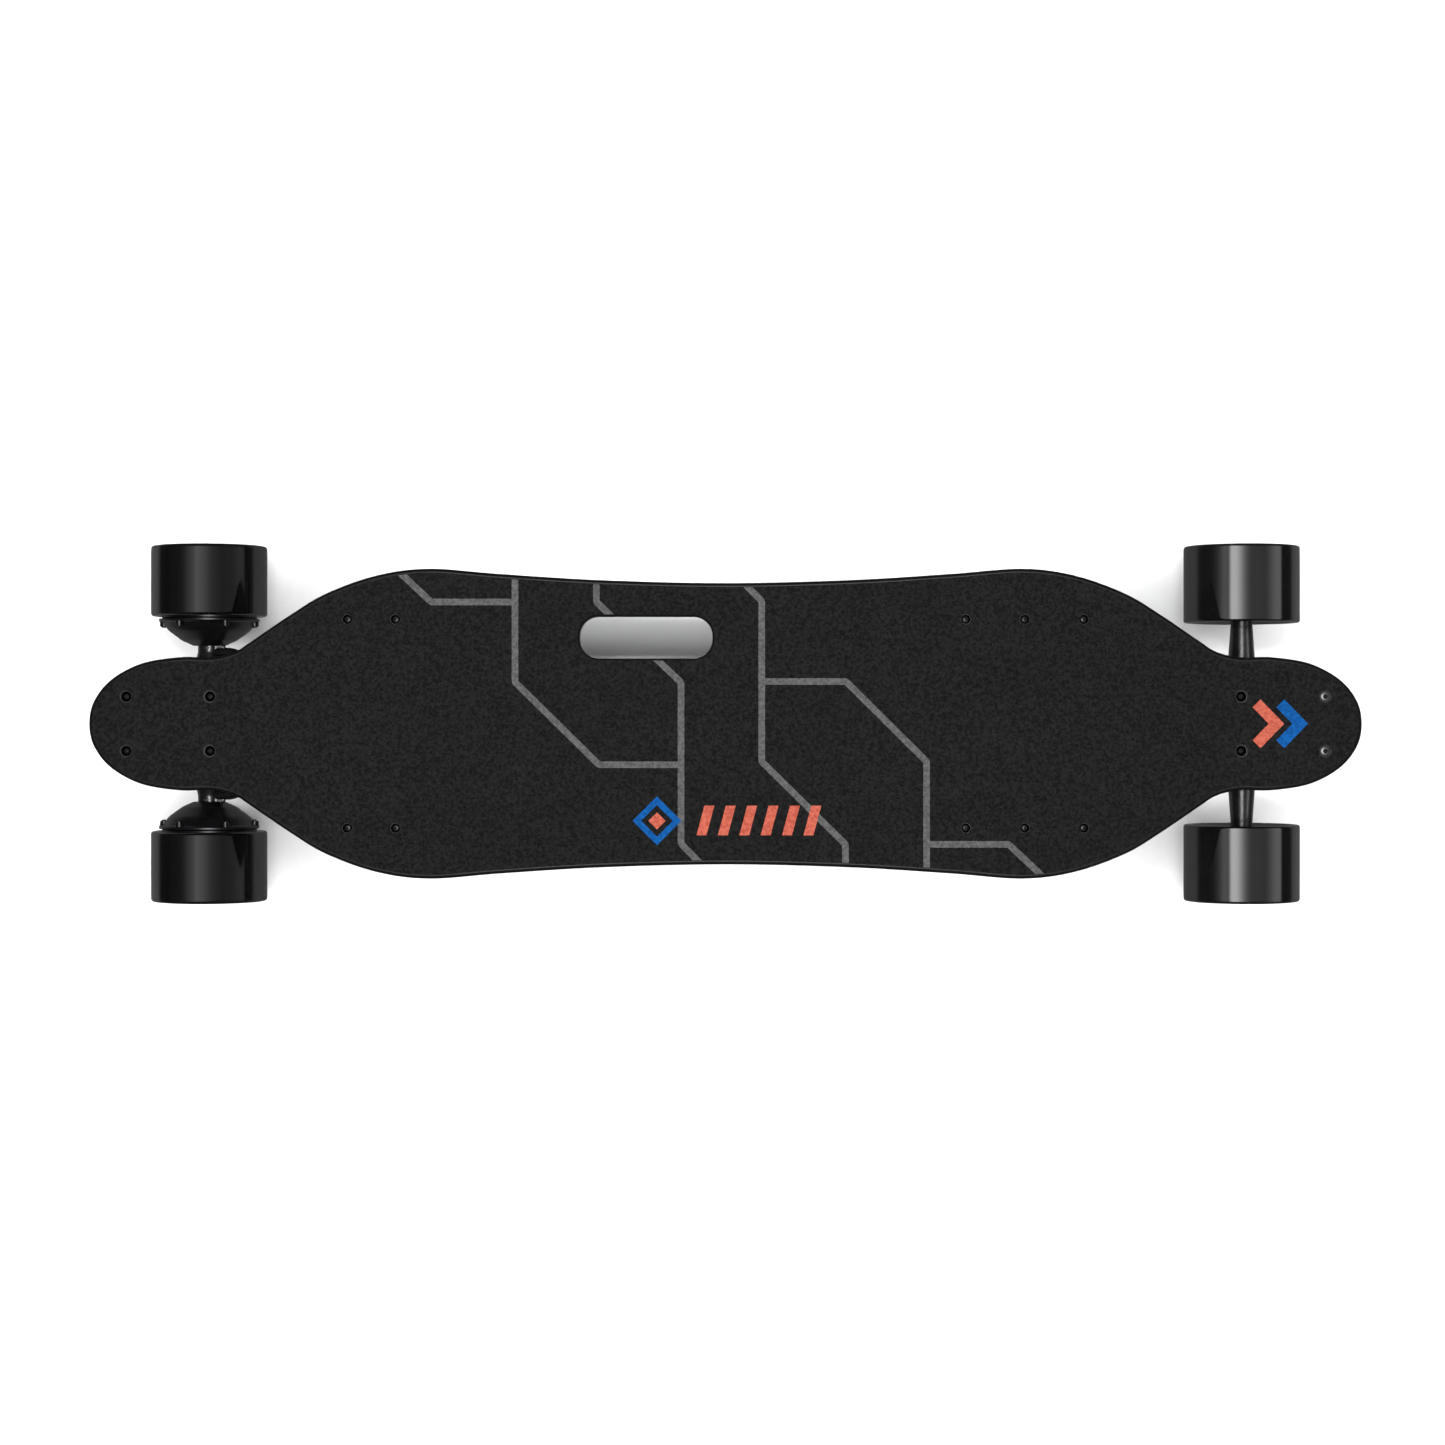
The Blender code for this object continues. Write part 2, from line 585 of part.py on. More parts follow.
def build_kingpin(truck):
    pin = finish(truck.name("kingpin"), rod(
        KINGPIN_RADIUS, KINGPIN_HEAD[1] - SINK, KINGPIN_END, truck.pin_frame, SMALL_SIDES), STEEL)
    head = rod(KINGPIN_NUT_RADIUS, KINGPIN_HEAD[0], KINGPIN_HEAD[1], truck.pin_frame, HEX)
    boolean(pin, head, "UNION")


def build_kingpin_stack(truck):
    """Washers, bushings and nut along the kingpin, on both sides of the hanger's ring."""
    frame = truck.pin_frame
    washer_low = KINGPIN_SEAT + GAP
    bushing_low = washer_low + WASHER_THICKNESS + GAP
    bushing_high = RING_HALF + GAP + CONE_HEIGHT
    washer_high = bushing_high + GAP
    nut = washer_high + WASHER_THICKNESS + GAP
    finish(truck.name("boardside_washer"), tube(
        KINGPIN_CLEAR, BUSHING_RADIUS, washer_low, washer_low + WASHER_THICKNESS, frame, SIDES),
        STEEL)
    barrel = [
        (KINGPIN_CLEAR, bushing_low), (BUSHING_RADIUS - BUSHING_WAIST, bushing_low),
        (BUSHING_RADIUS, 0.5 * (bushing_low - RING_HALF)),
        (BUSHING_RADIUS - BUSHING_WAIST, -RING_HALF - GAP), (KINGPIN_CLEAR, -RING_HALF - GAP)]
    finish(truck.name("boardside_bushing"), turned(barrel, frame, BUSHING_SIDES), BUSHING_GREY)
    cone = [
        (KINGPIN_CLEAR, RING_HALF + GAP), (BUSHING_RADIUS, RING_HALF + GAP),
        (BUSHING_RADIUS - BUSHING_WAIST, RING_HALF + CONE_LIP), (CONE_RADIUS, bushing_high),
        (KINGPIN_CLEAR, bushing_high)]
    finish(truck.name("roadside_bushing"), turned(cone, frame, BUSHING_SIDES), BUSHING_GREY)
    washer = tube(KINGPIN_CLEAR, ROADSIDE_WASHER_RADIUS, washer_high,
                  washer_high + WASHER_THICKNESS, frame, BUSHING_SIDES)
    finish(truck.name("roadside_washer"), washer, STEEL)
    build_nut(truck.name("kingpin_nut"), frame, KINGPIN_NUT_RADIUS, KINGPIN_CLEAR,
              (nut, nut + NUT_HEIGHT))


def build_nut(name, frame, radius, bore, span, parent=None):
    """A hexagon nut with a plain bore."""
    nut = finish(name, prism(circle(radius, HEX), span[0], span[1], frame), STEEL, parent)
    boolean(nut, rod(bore, span[0] - CUT, span[1] + CUT, frame, SMALL_SIDES))


def build_pivot_cup(truck):
    """A closed-ended cup in the baseplate's tower, open towards the ring."""
    mouth = TOWER_FACE + GAP
    end = mouth + CUP_DEPTH
    bore = PIVOT_RADIUS + PIVOT_CLEARANCE
    profile = [(0, end), (CUP_RADIUS, end), (CUP_RADIUS, mouth), (bore, mouth),
               (bore, end - CUP_FLOOR), (0, end - CUP_FLOOR)]
    cup = turned(profile, truck.steer_frame, SIDES, None, False)
    finish(truck.name("pivot_cup"), cup, BUSHING_GREY)


def build_hanger(truck):
    """Ring, web, beam and pivot nose in one casting."""
    steer = truck.steer_frame
    beam_end = truck.hanger_end
    tip = TIP_RADIUS[truck.end]
    half = [(HANGER_RADIUS, BEAM_TAPER[0]), (tip, min(BEAM_TAPER[1], beam_end - BEAM_TIP)),
            (tip, beam_end)]
    profile = [(0, -beam_end)] + [(r, -y) for r, y in reversed(half)] + half + [(0, beam_end)]
    beam = turned(profile, truck.axle_frame, SIDES, None, False)
    hanger = finish(truck.name("hanger"), beam, TRUCK_BLACK, truck.steer)
    ring = rod(RING_RADIUS, -RING_HALF, RING_HALF, truck.pin_frame, RING_SIDES)
    boolean(hanger, ring, "UNION")
    web = []
    for y in (WEB_HALF_WIDTH, -WEB_HALF_WIDTH):
        for height in (RING_HALF - GAP, GAP - RING_HALF):
            web.append(truck.ring + Vector((0, y, 0)) + truck.pin_axis * height
                       - truck.up_axis * WEB_START)
    for y in (BEAM_SHOULDER, -BEAM_SHOULDER):
        for x, z in circle(HANGER_RADIUS - SINK, BUSHING_SIDES):
            web.append(truck.axle_frame @ Vector((x, z, y)))
    boolean(hanger, hull(web), "UNION")
    nose = [
        (0, NOSE_ROOT[0]), (NOSE_RADIUS, NOSE_ROOT[0]), (NOSE_RADIUS, NOSE_ROOT[1]),
        (PIVOT_RADIUS, TOWER_FACE - SINK), (PIVOT_RADIUS, TOWER_FACE + NOSE_TIP[0]),
        (NOSE_TIP_RADIUS, TOWER_FACE + NOSE_TIP[1]), (0, TOWER_FACE + NOSE_TIP[1])]
    boolean(hanger, turned(nose, steer, SIDES, None, False), "UNION")
    boolean(hanger, rod(RING_HOLE, -CUT, CUT, truck.pin_frame, SIDES))
    boolean(hanger, rod(truck.axle_radius + GAP, -beam_end - CUT, beam_end + CUT, truck.axle_frame,
                        SMALL_SIDES))


def build_axle(truck):
    finish(truck.name("axle"), rod(truck.axle_radius, -truck.axle_end, truck.axle_end,
                                   truck.axle_frame, SMALL_SIDES), STEEL, truck.steer)


def build_truck(truck):
    build_riser(truck)
    build_baseplate(truck)
    build_kingpin(truck)
    build_kingpin_stack(truck)
    build_pivot_cup(truck)
    build_hanger(truck)
    build_axle(truck)


# ==== wheels ======================================================================================
def wheel_frame(truck, side):
    """Z runs outwards along the axle from the board's middle plane."""
    return axis_frame(truck.axle_frame.to_translation(), (0, side, 0))


def build_front_wheel(truck, side, hand):
    frame = wheel_frame(truck, side)
    prefix = f"front_{hand}"
    middle = 0.5 * (FRONT_WHEEL_INNER + WHEEL_OUTER)
    spin = joint_empty(f"{prefix}_wheel_axis", frame @ Matrix.Translation((0, 0, middle)), truck.steer)
    low, high = FRONT_WHEEL_INNER, WHEEL_OUTER
    tyre = [
        (CORE_RADIUS, low + 0.0070), (0.0340, low + 0.0040), (0.0415, low), (0.0440, low + 0.0010),
        (WHEEL_RADIUS, low + 0.0035), (WHEEL_RADIUS, high - 0.0035), (0.0440, high - 0.0010),
        (0.0415, high), (0.0340, high - 0.0040), (CORE_RADIUS, high - 0.0070)]
    finish(f"{prefix}_tyre", turned(tyre, frame, TYRE_SIDES), TYRE_BLACK, spin)
    core_out = CORE_RADIUS - GAP
    first, second = FRONT_BEARINGS
    seat = BEARING_RADIUS + GAP
    core = [
        (seat, first - 0.0015), (0.0145, first - 0.0015), (0.0155, middle - 0.005),
        (core_out - 0.0035, middle - 0.005), (core_out - 0.0035, low + 0.009),
        (core_out, low + 0.009), (core_out, high - 0.009), (core_out - 0.0035, high - 0.009),
        (core_out - 0.0035, middle + 0.005), (0.0155, middle + 0.005),
        (0.0145, second + BEARING_WIDTH + 0.0015), (seat, second + BEARING_WIDTH + 0.0015),
        (seat, second - GAP), (0.0088, second - GAP), (0.0088, first + BEARING_WIDTH + GAP),
        (seat, first + BEARING_WIDTH + GAP)]
    finish(f"{prefix}_core", turned(core, frame, SIDES), CORE_BLACK, spin)
    for label, start in (("inner", first), ("outer", second)):
        bearing = tube(FRONT_AXLE_RADIUS + GAP, BEARING_RADIUS, start, start + BEARING_WIDTH, frame,
                       SIDES)
        finish(f"{prefix}_{label}_bearing", bearing, STEEL, spin)
    build_nut(f"{prefix}_axle_nut", frame, FRONT_NUT_RADIUS, FRONT_AXLE_RADIUS + GAP, FRONT_NUT,
              truck.steer)


def build_rear_wheel(truck, side, hand):
    frame = wheel_frame(truck, side)
    prefix = f"rear_{hand}"
    middle = 0.5 * (SLEEVE_INNER + WHEEL_OUTER)
    spin = joint_empty(f"{prefix}_wheel_axis", frame @ Matrix.Translation((0, 0, middle)), truck.steer)
    low, high = SLEEVE_INNER, WHEEL_OUTER
    inside = CAN_RADIUS + GAP
    sleeve = [
        (inside, low + 0.0016), (0.0395, low), (0.0423, low), (0.0443, low + 0.0010),
        (WHEEL_RADIUS, low + 0.0032), (WHEEL_RADIUS, high - 0.0032), (0.0443, high - 0.0010),
        (0.0423, high), (0.0395, high), (inside, high - 0.0016)]
    finish(f"{prefix}_tyre", turned(sleeve, frame, TYRE_SIDES), TYRE_BLACK, spin)
    outer_bearing = REAR_BEARINGS[1]
    seat = HUB_BEARING_RADIUS + GAP
    bearing_end = outer_bearing + HUB_BEARING_WIDTH
    can = [
        (MAGNET_RADIUS, 0.0826), (CAN_RADIUS, 0.0826), (CAN_RADIUS, 0.1372), (0.0342, 0.1378),
        (0.0332, 0.1312), (0.0170, 0.1312), (0.0160, 0.1326), (0.0106, 0.1326),
        (0.0106, bearing_end + GAP), (seat, bearing_end + GAP), (seat, outer_bearing - GAP),
        (0.0165, outer_bearing - GAP), (0.0165, 0.1262), (MAGNET_RADIUS, 0.1262)]
    finish(f"{prefix}_rotor_can", turned(can, frame, CAN_SIDES), CAN_BLACK, spin)
    inner_bearing = REAR_BEARINGS[0]
    cover = [
        (0.0362, 0.0823), (0.0380, 0.0818), (0.0380, 0.0786), (0.0345, 0.0742), (0.0290, 0.0692),
        (0.0235, 0.0646), (0.0200, 0.0617), (0.0186, 0.0612), (0.0106, 0.0612),
        (0.0106, inner_bearing - GAP), (seat, inner_bearing - GAP),
        (seat, inner_bearing + HUB_BEARING_WIDTH + GAP), (0.0200, 0.0720), (0.0310, 0.0790),
        (MAGNET_RADIUS, 0.0823)]
    finish(f"{prefix}_rotor_cover", turned(cover, frame, CAN_SIDES), CAN_BLACK, spin)
    for label, start in (("inner", inner_bearing), ("outer", outer_bearing)):
        bearing = tube(REAR_AXLE_RADIUS + GAP, HUB_BEARING_RADIUS, start, start + HUB_BEARING_WIDTH,
                       frame, SIDES)
        finish(f"{prefix}_{label}_bearing", bearing, STEEL, spin)
    build_stator(prefix, frame, truck)
    build_nut(f"{prefix}_axle_nut", frame, REAR_NUT_RADIUS, REAR_AXLE_RADIUS + GAP, REAR_NUT,
              truck.steer)


def build_stator(prefix, frame, truck):
    """The wound core, fixed on the axle inside the motor."""
    outline = []
    for tooth in range(STATOR_TEETH):
        centre = 2 * math.pi * tooth / STATOR_TEETH
        for radius, degrees in ((STATOR_ROOT, -8), (STATOR_RADIUS - 0.004, -5), (STATOR_RADIUS, -12),
                                (STATOR_RADIUS, 12), (STATOR_RADIUS - 0.004, 5), (STATOR_ROOT, 8)):
            angle = centre + math.radians(degrees)
            outline.append((radius * math.cos(angle), radius * math.sin(angle)))
    stator = finish(f"{prefix}_stator", prism(outline, *STATOR_SPAN, frame), COPPER, truck.steer)
    boolean(stator, rod(REAR_AXLE_RADIUS + GAP, STATOR_SPAN[0] - CUT, STATOR_SPAN[1] + CUT, frame,
                        SMALL_SIDES))


# ==== housings ====================================================================================
def housing_shell(centre_x, half_length, depth):
    """An open tub with a flange round its rim."""
    def ring(half_x, half_y, radius, height):
        return at_height(rounded_rectangle(half_x, half_y, radius, 4, (centre_x, 0)), height)
    wall_x = half_length - FLANGE_END
    wall_corner = CAVITY_CORNER + WALL_THICKNESS
    cavity_x, cavity_y = wall_x - WALL_THICKNESS, WALL_HALF_WIDTH - WALL_THICKNESS
    bottom = HOUSING_TOP - depth
    soft = 0.004
    return loft([
        ring(cavity_x, cavity_y, CAVITY_CORNER, bottom + WALL_THICKNESS),
        ring(cavity_x, cavity_y, CAVITY_CORNER, HOUSING_TOP),
        ring(half_length, FLANGE_HALF_WIDTH, FLANGE_CORNER, HOUSING_TOP),
        ring(half_length, FLANGE_HALF_WIDTH, FLANGE_CORNER, HOUSING_TOP - FLANGE_THICKNESS),
        ring(wall_x, WALL_HALF_WIDTH, wall_corner, HOUSING_TOP - FLANGE_THICKNESS),
        ring(wall_x, WALL_HALF_WIDTH, wall_corner, bottom + soft),
        ring(wall_x - 0.3 * soft, WALL_HALF_WIDTH - 0.3 * soft, wall_corner, bottom + 0.3 * soft),
        ring(wall_x - soft, WALL_HALF_WIDTH - soft, wall_corner, bottom),
    ])


def screw_holes(centre_x, offsets):
    """Cutters for the screws through a housing's flange."""
    holes = bmesh.new()
    for x in offsets:
        for side in (1, -1):
            prism(circle(SCREW_HOLE, HOLE_SIDES, (centre_x + x, side * SCREW_Y)),
                  HOUSING_TOP - CUT, HOUSING_TOP + CUT, None, holes)
    return holes


def build_battery_case():
    case = finish("battery_case", housing_shell(BATTERY_X, BATTERY_HALF_LENGTH, BATTERY_DEPTH),
                  HOUSING_BLACK)
    boolean(case, screw_holes(BATTERY_X, BATTERY_SCREWS))
    inner_end = BATTERY_X - BATTERY_HALF_LENGTH + FLANGE_END
    gland = axis_frame((inner_end, 0, GLAND_Z), (-1, 0, 0))
    boolean(case, rod(GLAND_RADIUS, -SINK, GLAND_LENGTH, gland, SMALL_SIDES), "UNION")
    port = axis_frame((PORT_X, -WALL_HALF_WIDTH, PORT_Z), (0, 1, 0))
    boolean(case, rod(PORT_BARREL + GAP, -CUT, CUT, port, SMALL_SIDES))


def build_battery_pack():
    """Rows of round cells side by side in one wrap."""
    bottom = HOUSING_TOP - BATTERY_DEPTH + WALL_THICKNESS + GAP + CELL_RADIUS
    steps = 6
    upper = []
    for cell in range(CELLS_ACROSS):
        centre = (cell - (CELLS_ACROSS - 1) / 2) * 2 * CELL_RADIUS
        for step in range(steps + 1):
            angle = math.radians(165 - 150 * step / steps)
            upper.append((centre + CELL_RADIUS * math.cos(angle), CELL_RADIUS * math.sin(angle)))
    outline = upper + [(y, -z) for y, z in reversed(upper)]
    half = CELL_ROWS * CELL_LENGTH / 2
    frame = axis_frame((BATTERY_X, 0, bottom), (1, 0, 0), (0, 1, 0))
    finish("battery_pack", prism(outline, -half, half, frame), CELL_BLUE)


def build_boards():
    """The battery management board over the pack, and the controller board with its parts."""
    x, y = BMS_HALF
    top = HOUSING_TOP - BMS_DROP
    finish("battery_management_board", block(
        (BATTERY_X - x, -y, top - BMS_THICKNESS), (BATTERY_X + x, y, top)), BOARD_GREEN)
    x, y = ESC_BOARD_HALF
    low = HOUSING_TOP - ESC_DEPTH + WALL_THICKNESS + ESC_BOARD_LIFT
    board = finish("controller_board", block(
        (ESC_X - x, -y, low), (ESC_X + x, y, low + ESC_BOARD_THICKNESS)), BOARD_GREEN)
    start, end, y, height = ESC_PARTS
    parts = block((ESC_X + start, -y, low + SINK), (ESC_X + end, y, low + height))
    boolean(board, parts, "UNION")
    cans = bmesh.new()
    for y in CAPACITOR_PLACES:
        rod(CAPACITOR_RADIUS, low + SINK, low + CAPACITOR_TOP,
            Matrix.Translation((ESC_X + CAPACITOR_X, y, 0)), SMALL_SIDES, cans)
    boolean(board, cans, "UNION")


def build_esc_case():
    case = finish("controller_case", housing_shell(ESC_X, ESC_HALF_LENGTH, ESC_DEPTH), HOUSING_BLACK)
    boolean(case, screw_holes(ESC_X, ESC_SCREWS))
    wall = ESC_HALF_LENGTH - FLANGE_END
    glands = rod(GLAND_RADIUS, -SINK, GLAND_LENGTH, axis_frame((ESC_X + wall, 0, GLAND_Z), (1, 0, 0)),
                 SMALL_SIDES)
    for side in (1, -1):
        rod(GLAND_RADIUS, -SINK, GLAND_LENGTH,
            axis_frame((ESC_X - wall, side * MOTOR_GLAND_Y, GLAND_Z), (-1, 0, 0)), SMALL_SIDES, glands)
    boolean(case, glands, "UNION")
    button = axis_frame((BUTTON_X, -WALL_HALF_WIDTH, PORT_Z), (0, 1, 0))
    boolean(case, rod(BUTTON_RADIUS + BUTTON_CLEARANCE, -CUT, CUT, button, BUTTON_SIDES))


def build_power_button():
    """A round button in the controller case's right wall; it is pushed in towards +Y."""
    frame = axis_frame((BUTTON_X, -WALL_HALF_WIDTH, PORT_Z), (0, 1, 0))
    axis = joint_empty("power_button_axis", frame)
    profile = [
        (0, -BUTTON_OUT), (BUTTON_RADIUS - BUTTON_ROUNDING, -BUTTON_OUT),
        (BUTTON_RADIUS, BUTTON_ROUNDING - BUTTON_OUT), (BUTTON_RADIUS, WALL_THICKNESS + GAP),
        (BUTTON_RADIUS + BUTTON_RIM, WALL_THICKNESS + GAP),
        (BUTTON_RADIUS + BUTTON_RIM, WALL_THICKNESS + BUTTON_BACK),
        (0, WALL_THICKNESS + BUTTON_BACK)]
    finish("power_button", turned(profile, frame, BUTTON_SIDES, None, False), STEEL, axis)


def build_charge_port():
    """The charging socket in the battery case's right wall, with its hinged rubber cap."""
    frame = axis_frame((PORT_X, -WALL_HALF_WIDTH - GAP, PORT_Z), (0, -1, 0), (1, 0, 0))
    barrel = rod(PORT_BARREL, -PORT_DEPTH, PORT_RIM, frame, SMALL_SIDES)
    port = finish("charge_port", barrel, DARK_STEEL)
    boolean(port, prism(tag_outline(*PORT_TAG), 0.0, PORT_TAG_TOP, frame), "UNION")
    boolean(port, rod(PORT_BORE, PORT_FLOOR - PORT_DEPTH, CUT, frame, SMALL_SIDES))
    hinge_point = (PORT_X - CAP_HINGE, -WALL_HALF_WIDTH - CAP_HINGE_OUT, PORT_Z)
    hinge = joint_empty("charge_cap_axis", axis_frame(hinge_point, (0, 0, 1)))
    cap = finish("charge_port_cap", prism(tag_outline(*CAP_TAG), *CAP_SPAN, frame), RUBBER, hinge)
    boolean(cap, rod(CAP_PLUG_RADIUS, *CAP_PLUG, frame, SMALL_SIDES), "UNION")


def tag_outline(radius, tail):
    """A disc with a narrower tail reaching the cap's hinge."""
    swing = math.acos((radius - tail) / CAP_HINGE)
    points = []
    for step in range(15):
        angle = (math.pi - swing) * (2 * step / 14 - 1)
        points.append((radius * math.cos(angle), radius * math.sin(angle)))
    for step in range(5):
        angle = math.pi - swing + 2 * swing * step / 4
        points.append((tail * math.cos(angle) - CAP_HINGE, tail * math.sin(angle)))
    return points


# ==== cables ======================================================================================
def build_cable(name, route, radius):
    """A round cable along a smooth route, with flat ends."""
    curve = bpy.data.curves.new(name, "CURVE")
    curve.dimensions = "3D"
    curve.bevel_depth = radius
    curve.bevel_resolution = 2
    curve.use_fill_caps = True
    points = smooth_points(route, KNOT_STEPS)
    spline = curve.splines.new("POLY")
    spline.points.add(len(points) - 1)
    for target, point in zip(spline.points, points):
        target.co = (*point, 1.0)
    curve.materials.append(RUBBER)
    made = bpy.data.objects.new(name, curve)
    bpy.context.collection.objects.link(made)


def build_cables():
    for hand, side in (("left", 1), ("right", -1)):
        route = [(x, side * y, z) for x, y, z in MOTOR_CABLE_ROUTE]
        build_cable(f"{hand}_motor_cable", route, MOTOR_CABLE_RADIUS)
    build_cable("battery_cable", LINK_CABLE_ROUTE, LINK_CABLE_RADIUS)
    build_cable_clip()


def build_cable_clip():
    """A saddle screwed under the deck, over the battery cable."""
    frame = axis_frame((CLIP_X, 0, CLIP_Z), (1, 0, 0), (0, 1, 0))
    inner = LINK_CABLE_RADIUS + GAP
    outer = inner + CLIP_SHEET
    top = DECK_BOTTOM - GAP - CLIP_Z
    side = [(inner, top), (CLIP_FOOT, top), (CLIP_FOOT, top - CLIP_SHEET), (outer, top - CLIP_SHEET)]
    lower = [(outer * math.cos(math.radians(a)), outer * math.sin(math.radians(a)))
             for a in range(0, -181, -30)]
    inside = [(inner * math.cos(math.radians(a)), inner * math.sin(math.radians(a)))
              for a in range(-180, 1, 30)]
    outline = side + lower + [(-y, z) for y, z in reversed(side)] + inside
    finish("cable_clip", prism(outline, -CLIP_HALF_LENGTH, CLIP_HALF_LENGTH, frame), STEEL)


# ==== the whole board =============================================================================
build_deck()
build_grip_tape()
front = Truck("front", 0.0, FRONT_AXLE_RADIUS, FRONT_AXLE_END, FRONT_HANGER_END)
rear = Truck("rear", math.pi, REAR_AXLE_RADIUS, REAR_AXLE_END, REAR_HANGER_END)
for each in (front, rear):
    build_truck(each)
for hand_name, hand_side in (("left", 1), ("right", -1)):
    build_front_wheel(front, hand_side, hand_name)
    build_rear_wheel(rear, hand_side, hand_name)
build_battery_case()
build_battery_pack()
build_boards()
build_esc_case()
build_power_button()
build_charge_port()
build_cables()
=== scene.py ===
"""Looks of the electric skateboard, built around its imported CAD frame.

Metres.  +X is forward, +Y is left, +Z is up.  Profiles and outlines are written in millimetres
and scaled by MM where a mesh is made.
"""
import json
import math
import bmesh
import bpy
from mathutils import Matrix, Vector


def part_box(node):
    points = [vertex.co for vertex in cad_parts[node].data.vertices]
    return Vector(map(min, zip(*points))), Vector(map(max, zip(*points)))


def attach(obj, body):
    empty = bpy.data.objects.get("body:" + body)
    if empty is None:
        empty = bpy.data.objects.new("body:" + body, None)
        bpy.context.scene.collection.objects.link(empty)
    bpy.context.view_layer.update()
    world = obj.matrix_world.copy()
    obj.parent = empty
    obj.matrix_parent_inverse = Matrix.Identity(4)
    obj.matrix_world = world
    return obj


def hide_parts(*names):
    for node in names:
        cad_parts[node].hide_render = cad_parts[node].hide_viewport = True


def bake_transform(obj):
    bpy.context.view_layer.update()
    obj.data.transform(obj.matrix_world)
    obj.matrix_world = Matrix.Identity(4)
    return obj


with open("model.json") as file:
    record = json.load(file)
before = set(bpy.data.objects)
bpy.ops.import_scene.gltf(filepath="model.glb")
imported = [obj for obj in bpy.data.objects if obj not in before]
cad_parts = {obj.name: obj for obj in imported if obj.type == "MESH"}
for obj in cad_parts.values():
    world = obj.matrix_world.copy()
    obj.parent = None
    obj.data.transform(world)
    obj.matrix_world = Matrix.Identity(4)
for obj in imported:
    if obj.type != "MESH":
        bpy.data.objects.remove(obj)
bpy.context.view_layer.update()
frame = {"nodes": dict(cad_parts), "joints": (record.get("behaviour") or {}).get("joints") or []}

MM = 0.001
SHARP = 32                       # edges that bend by more degrees than this stay sharp
CASTING_SHARP = 40
CASTING_VOXEL = 0.0007
CASTING_PASSES = 5               # of smoothing, which makes the castings' soft fillets
JOINTS = {joint["name"]: joint for joint in frame["joints"]}
DECK_LOW, DECK_HIGH = (corner.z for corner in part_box("deck"))
GRIP_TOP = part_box("grip_tape")[1].z
HOUSING_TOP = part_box("battery_case")[1].z
BASE_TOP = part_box("front_baseplate")[1].z


# ==== materials ====
class Nodes:
    """A node tree being written."""

    def __init__(self, tree):
        self.tree = tree

    def set(self, socket, value):
        """Links a socket to another one, or gives it a constant."""
        if isinstance(value, bpy.types.NodeSocket):
            self.tree.links.new(value, socket)
        else:
            socket.default_value = value

    def add(self, kind, inputs=(), **settings):
        node = self.tree.nodes.new(kind)
        for key, value in settings.items():
            setattr(node, key, value)
        for key, value in dict(inputs).items():
            self.set(node.inputs[key], value)
        return node

    def ramp(self, value, low, high, out_low=0.0, out_high=1.0):
        return self.add("ShaderNodeMapRange", {
            "Value": value, "From Min": low, "From Max": high, "To Min": out_low,
            "To Max": out_high}).outputs["Result"]

    def mix(self, factor, first, second):
        """Mixes two colours, each of them a socket or (r, g, b)."""
        node = self.add("ShaderNodeMix", data_type="RGBA")
        self.set(node.inputs["Factor"], factor)
        for socket, value in zip([each for each in node.inputs if each.type == "RGBA"], (first, second)):
            self.set(socket, value if isinstance(value, bpy.types.NodeSocket) else (*value, 1.0))
        return next(each for each in node.outputs if each.type == "RGBA")

    def greys(self, value, levels):
        """A colour ramp of grey levels, as (position, value)."""
        node = self.add("ShaderNodeValToRGB", {"Fac": value})
        elements = node.color_ramp.elements
        elements[0].position, elements[1].position = 0.0, 1.0
        for level in levels[1:-1]:
            elements.new(level[0])
        for element, level in zip(elements, levels):
            element.color = (*tone(level[1]), 1.0)
        return node.outputs["Color"]


class Paint(Nodes):
    """A material being written, with its shader and its object coordinates."""

    def __init__(self, name):
        self.material = bpy.data.materials.new(name)
        self.material.use_nodes = True
        super().__init__(self.material.node_tree)
        self.shader = self.tree.nodes["Principled BSDF"]
        self.coords = self.add("ShaderNodeTexCoord").outputs["Object"]

    def finished(self, inputs):
        """The material, with its shader's inputs set."""
        for key, value in inputs.items():
            self.set(self.shader.inputs[key], value)
        return self.material

    def stretched(self, scale):
        return self.add("ShaderNodeMapping", {"Vector": self.coords, "Scale": scale}).outputs[0]

    def noise(self, scale, detail=4.0, rough=0.6, vector=None):
        return self.add("ShaderNodeTexNoise", {
            "Vector": vector or self.coords, "Scale": scale, "Detail": detail,
            "Roughness": rough}).outputs["Fac"]

    def cells(self, scale):
        return self.add("ShaderNodeTexVoronoi", {"Vector": self.coords, "Scale": scale}).outputs["Distance"]

    def bump(self, height, distance, strength=1.0, normal=None):
        inputs = {"Height": height, "Distance": distance, "Strength": strength}
        if normal:
            inputs["Normal"] = normal
        return self.add("ShaderNodeBump", inputs).outputs["Normal"]


def tone(grey, blue=None):
    """A grey, or a grey whose blue differs a little."""
    return (grey, grey, grey if blue is None else blue)


def surface(name, dark, light, patch=60.0, grain=900.0, rough=(0.3, 0.45), depth=0.00005,
            metallic=0.0, specular=0.5, coat=0.0, stretch=None):
    """A material with two tones in soft patches, a fine grain, and roughness that varies with the grain."""
    made = Paint(name)
    vector = made.stretched(stretch) if stretch else None
    patches = made.noise(patch, 5.0, 0.6)
    fine = made.noise(grain, 3.0, 0.7, vector)
    both = made.add("ShaderNodeMath", {0: patches, 1: fine}, operation="MULTIPLY").outputs[0]
    return made.finished({
        "Base Color": made.mix(made.ramp(both, 0.12, 0.40), dark, light),
        "Roughness": made.ramp(fine, 0.3, 0.7, *rough), "Metallic": metallic,
        "Specular IOR Level": specular, "Coat Weight": coat, "Coat Roughness": 0.12,
        "Normal": made.bump(fine, depth)})


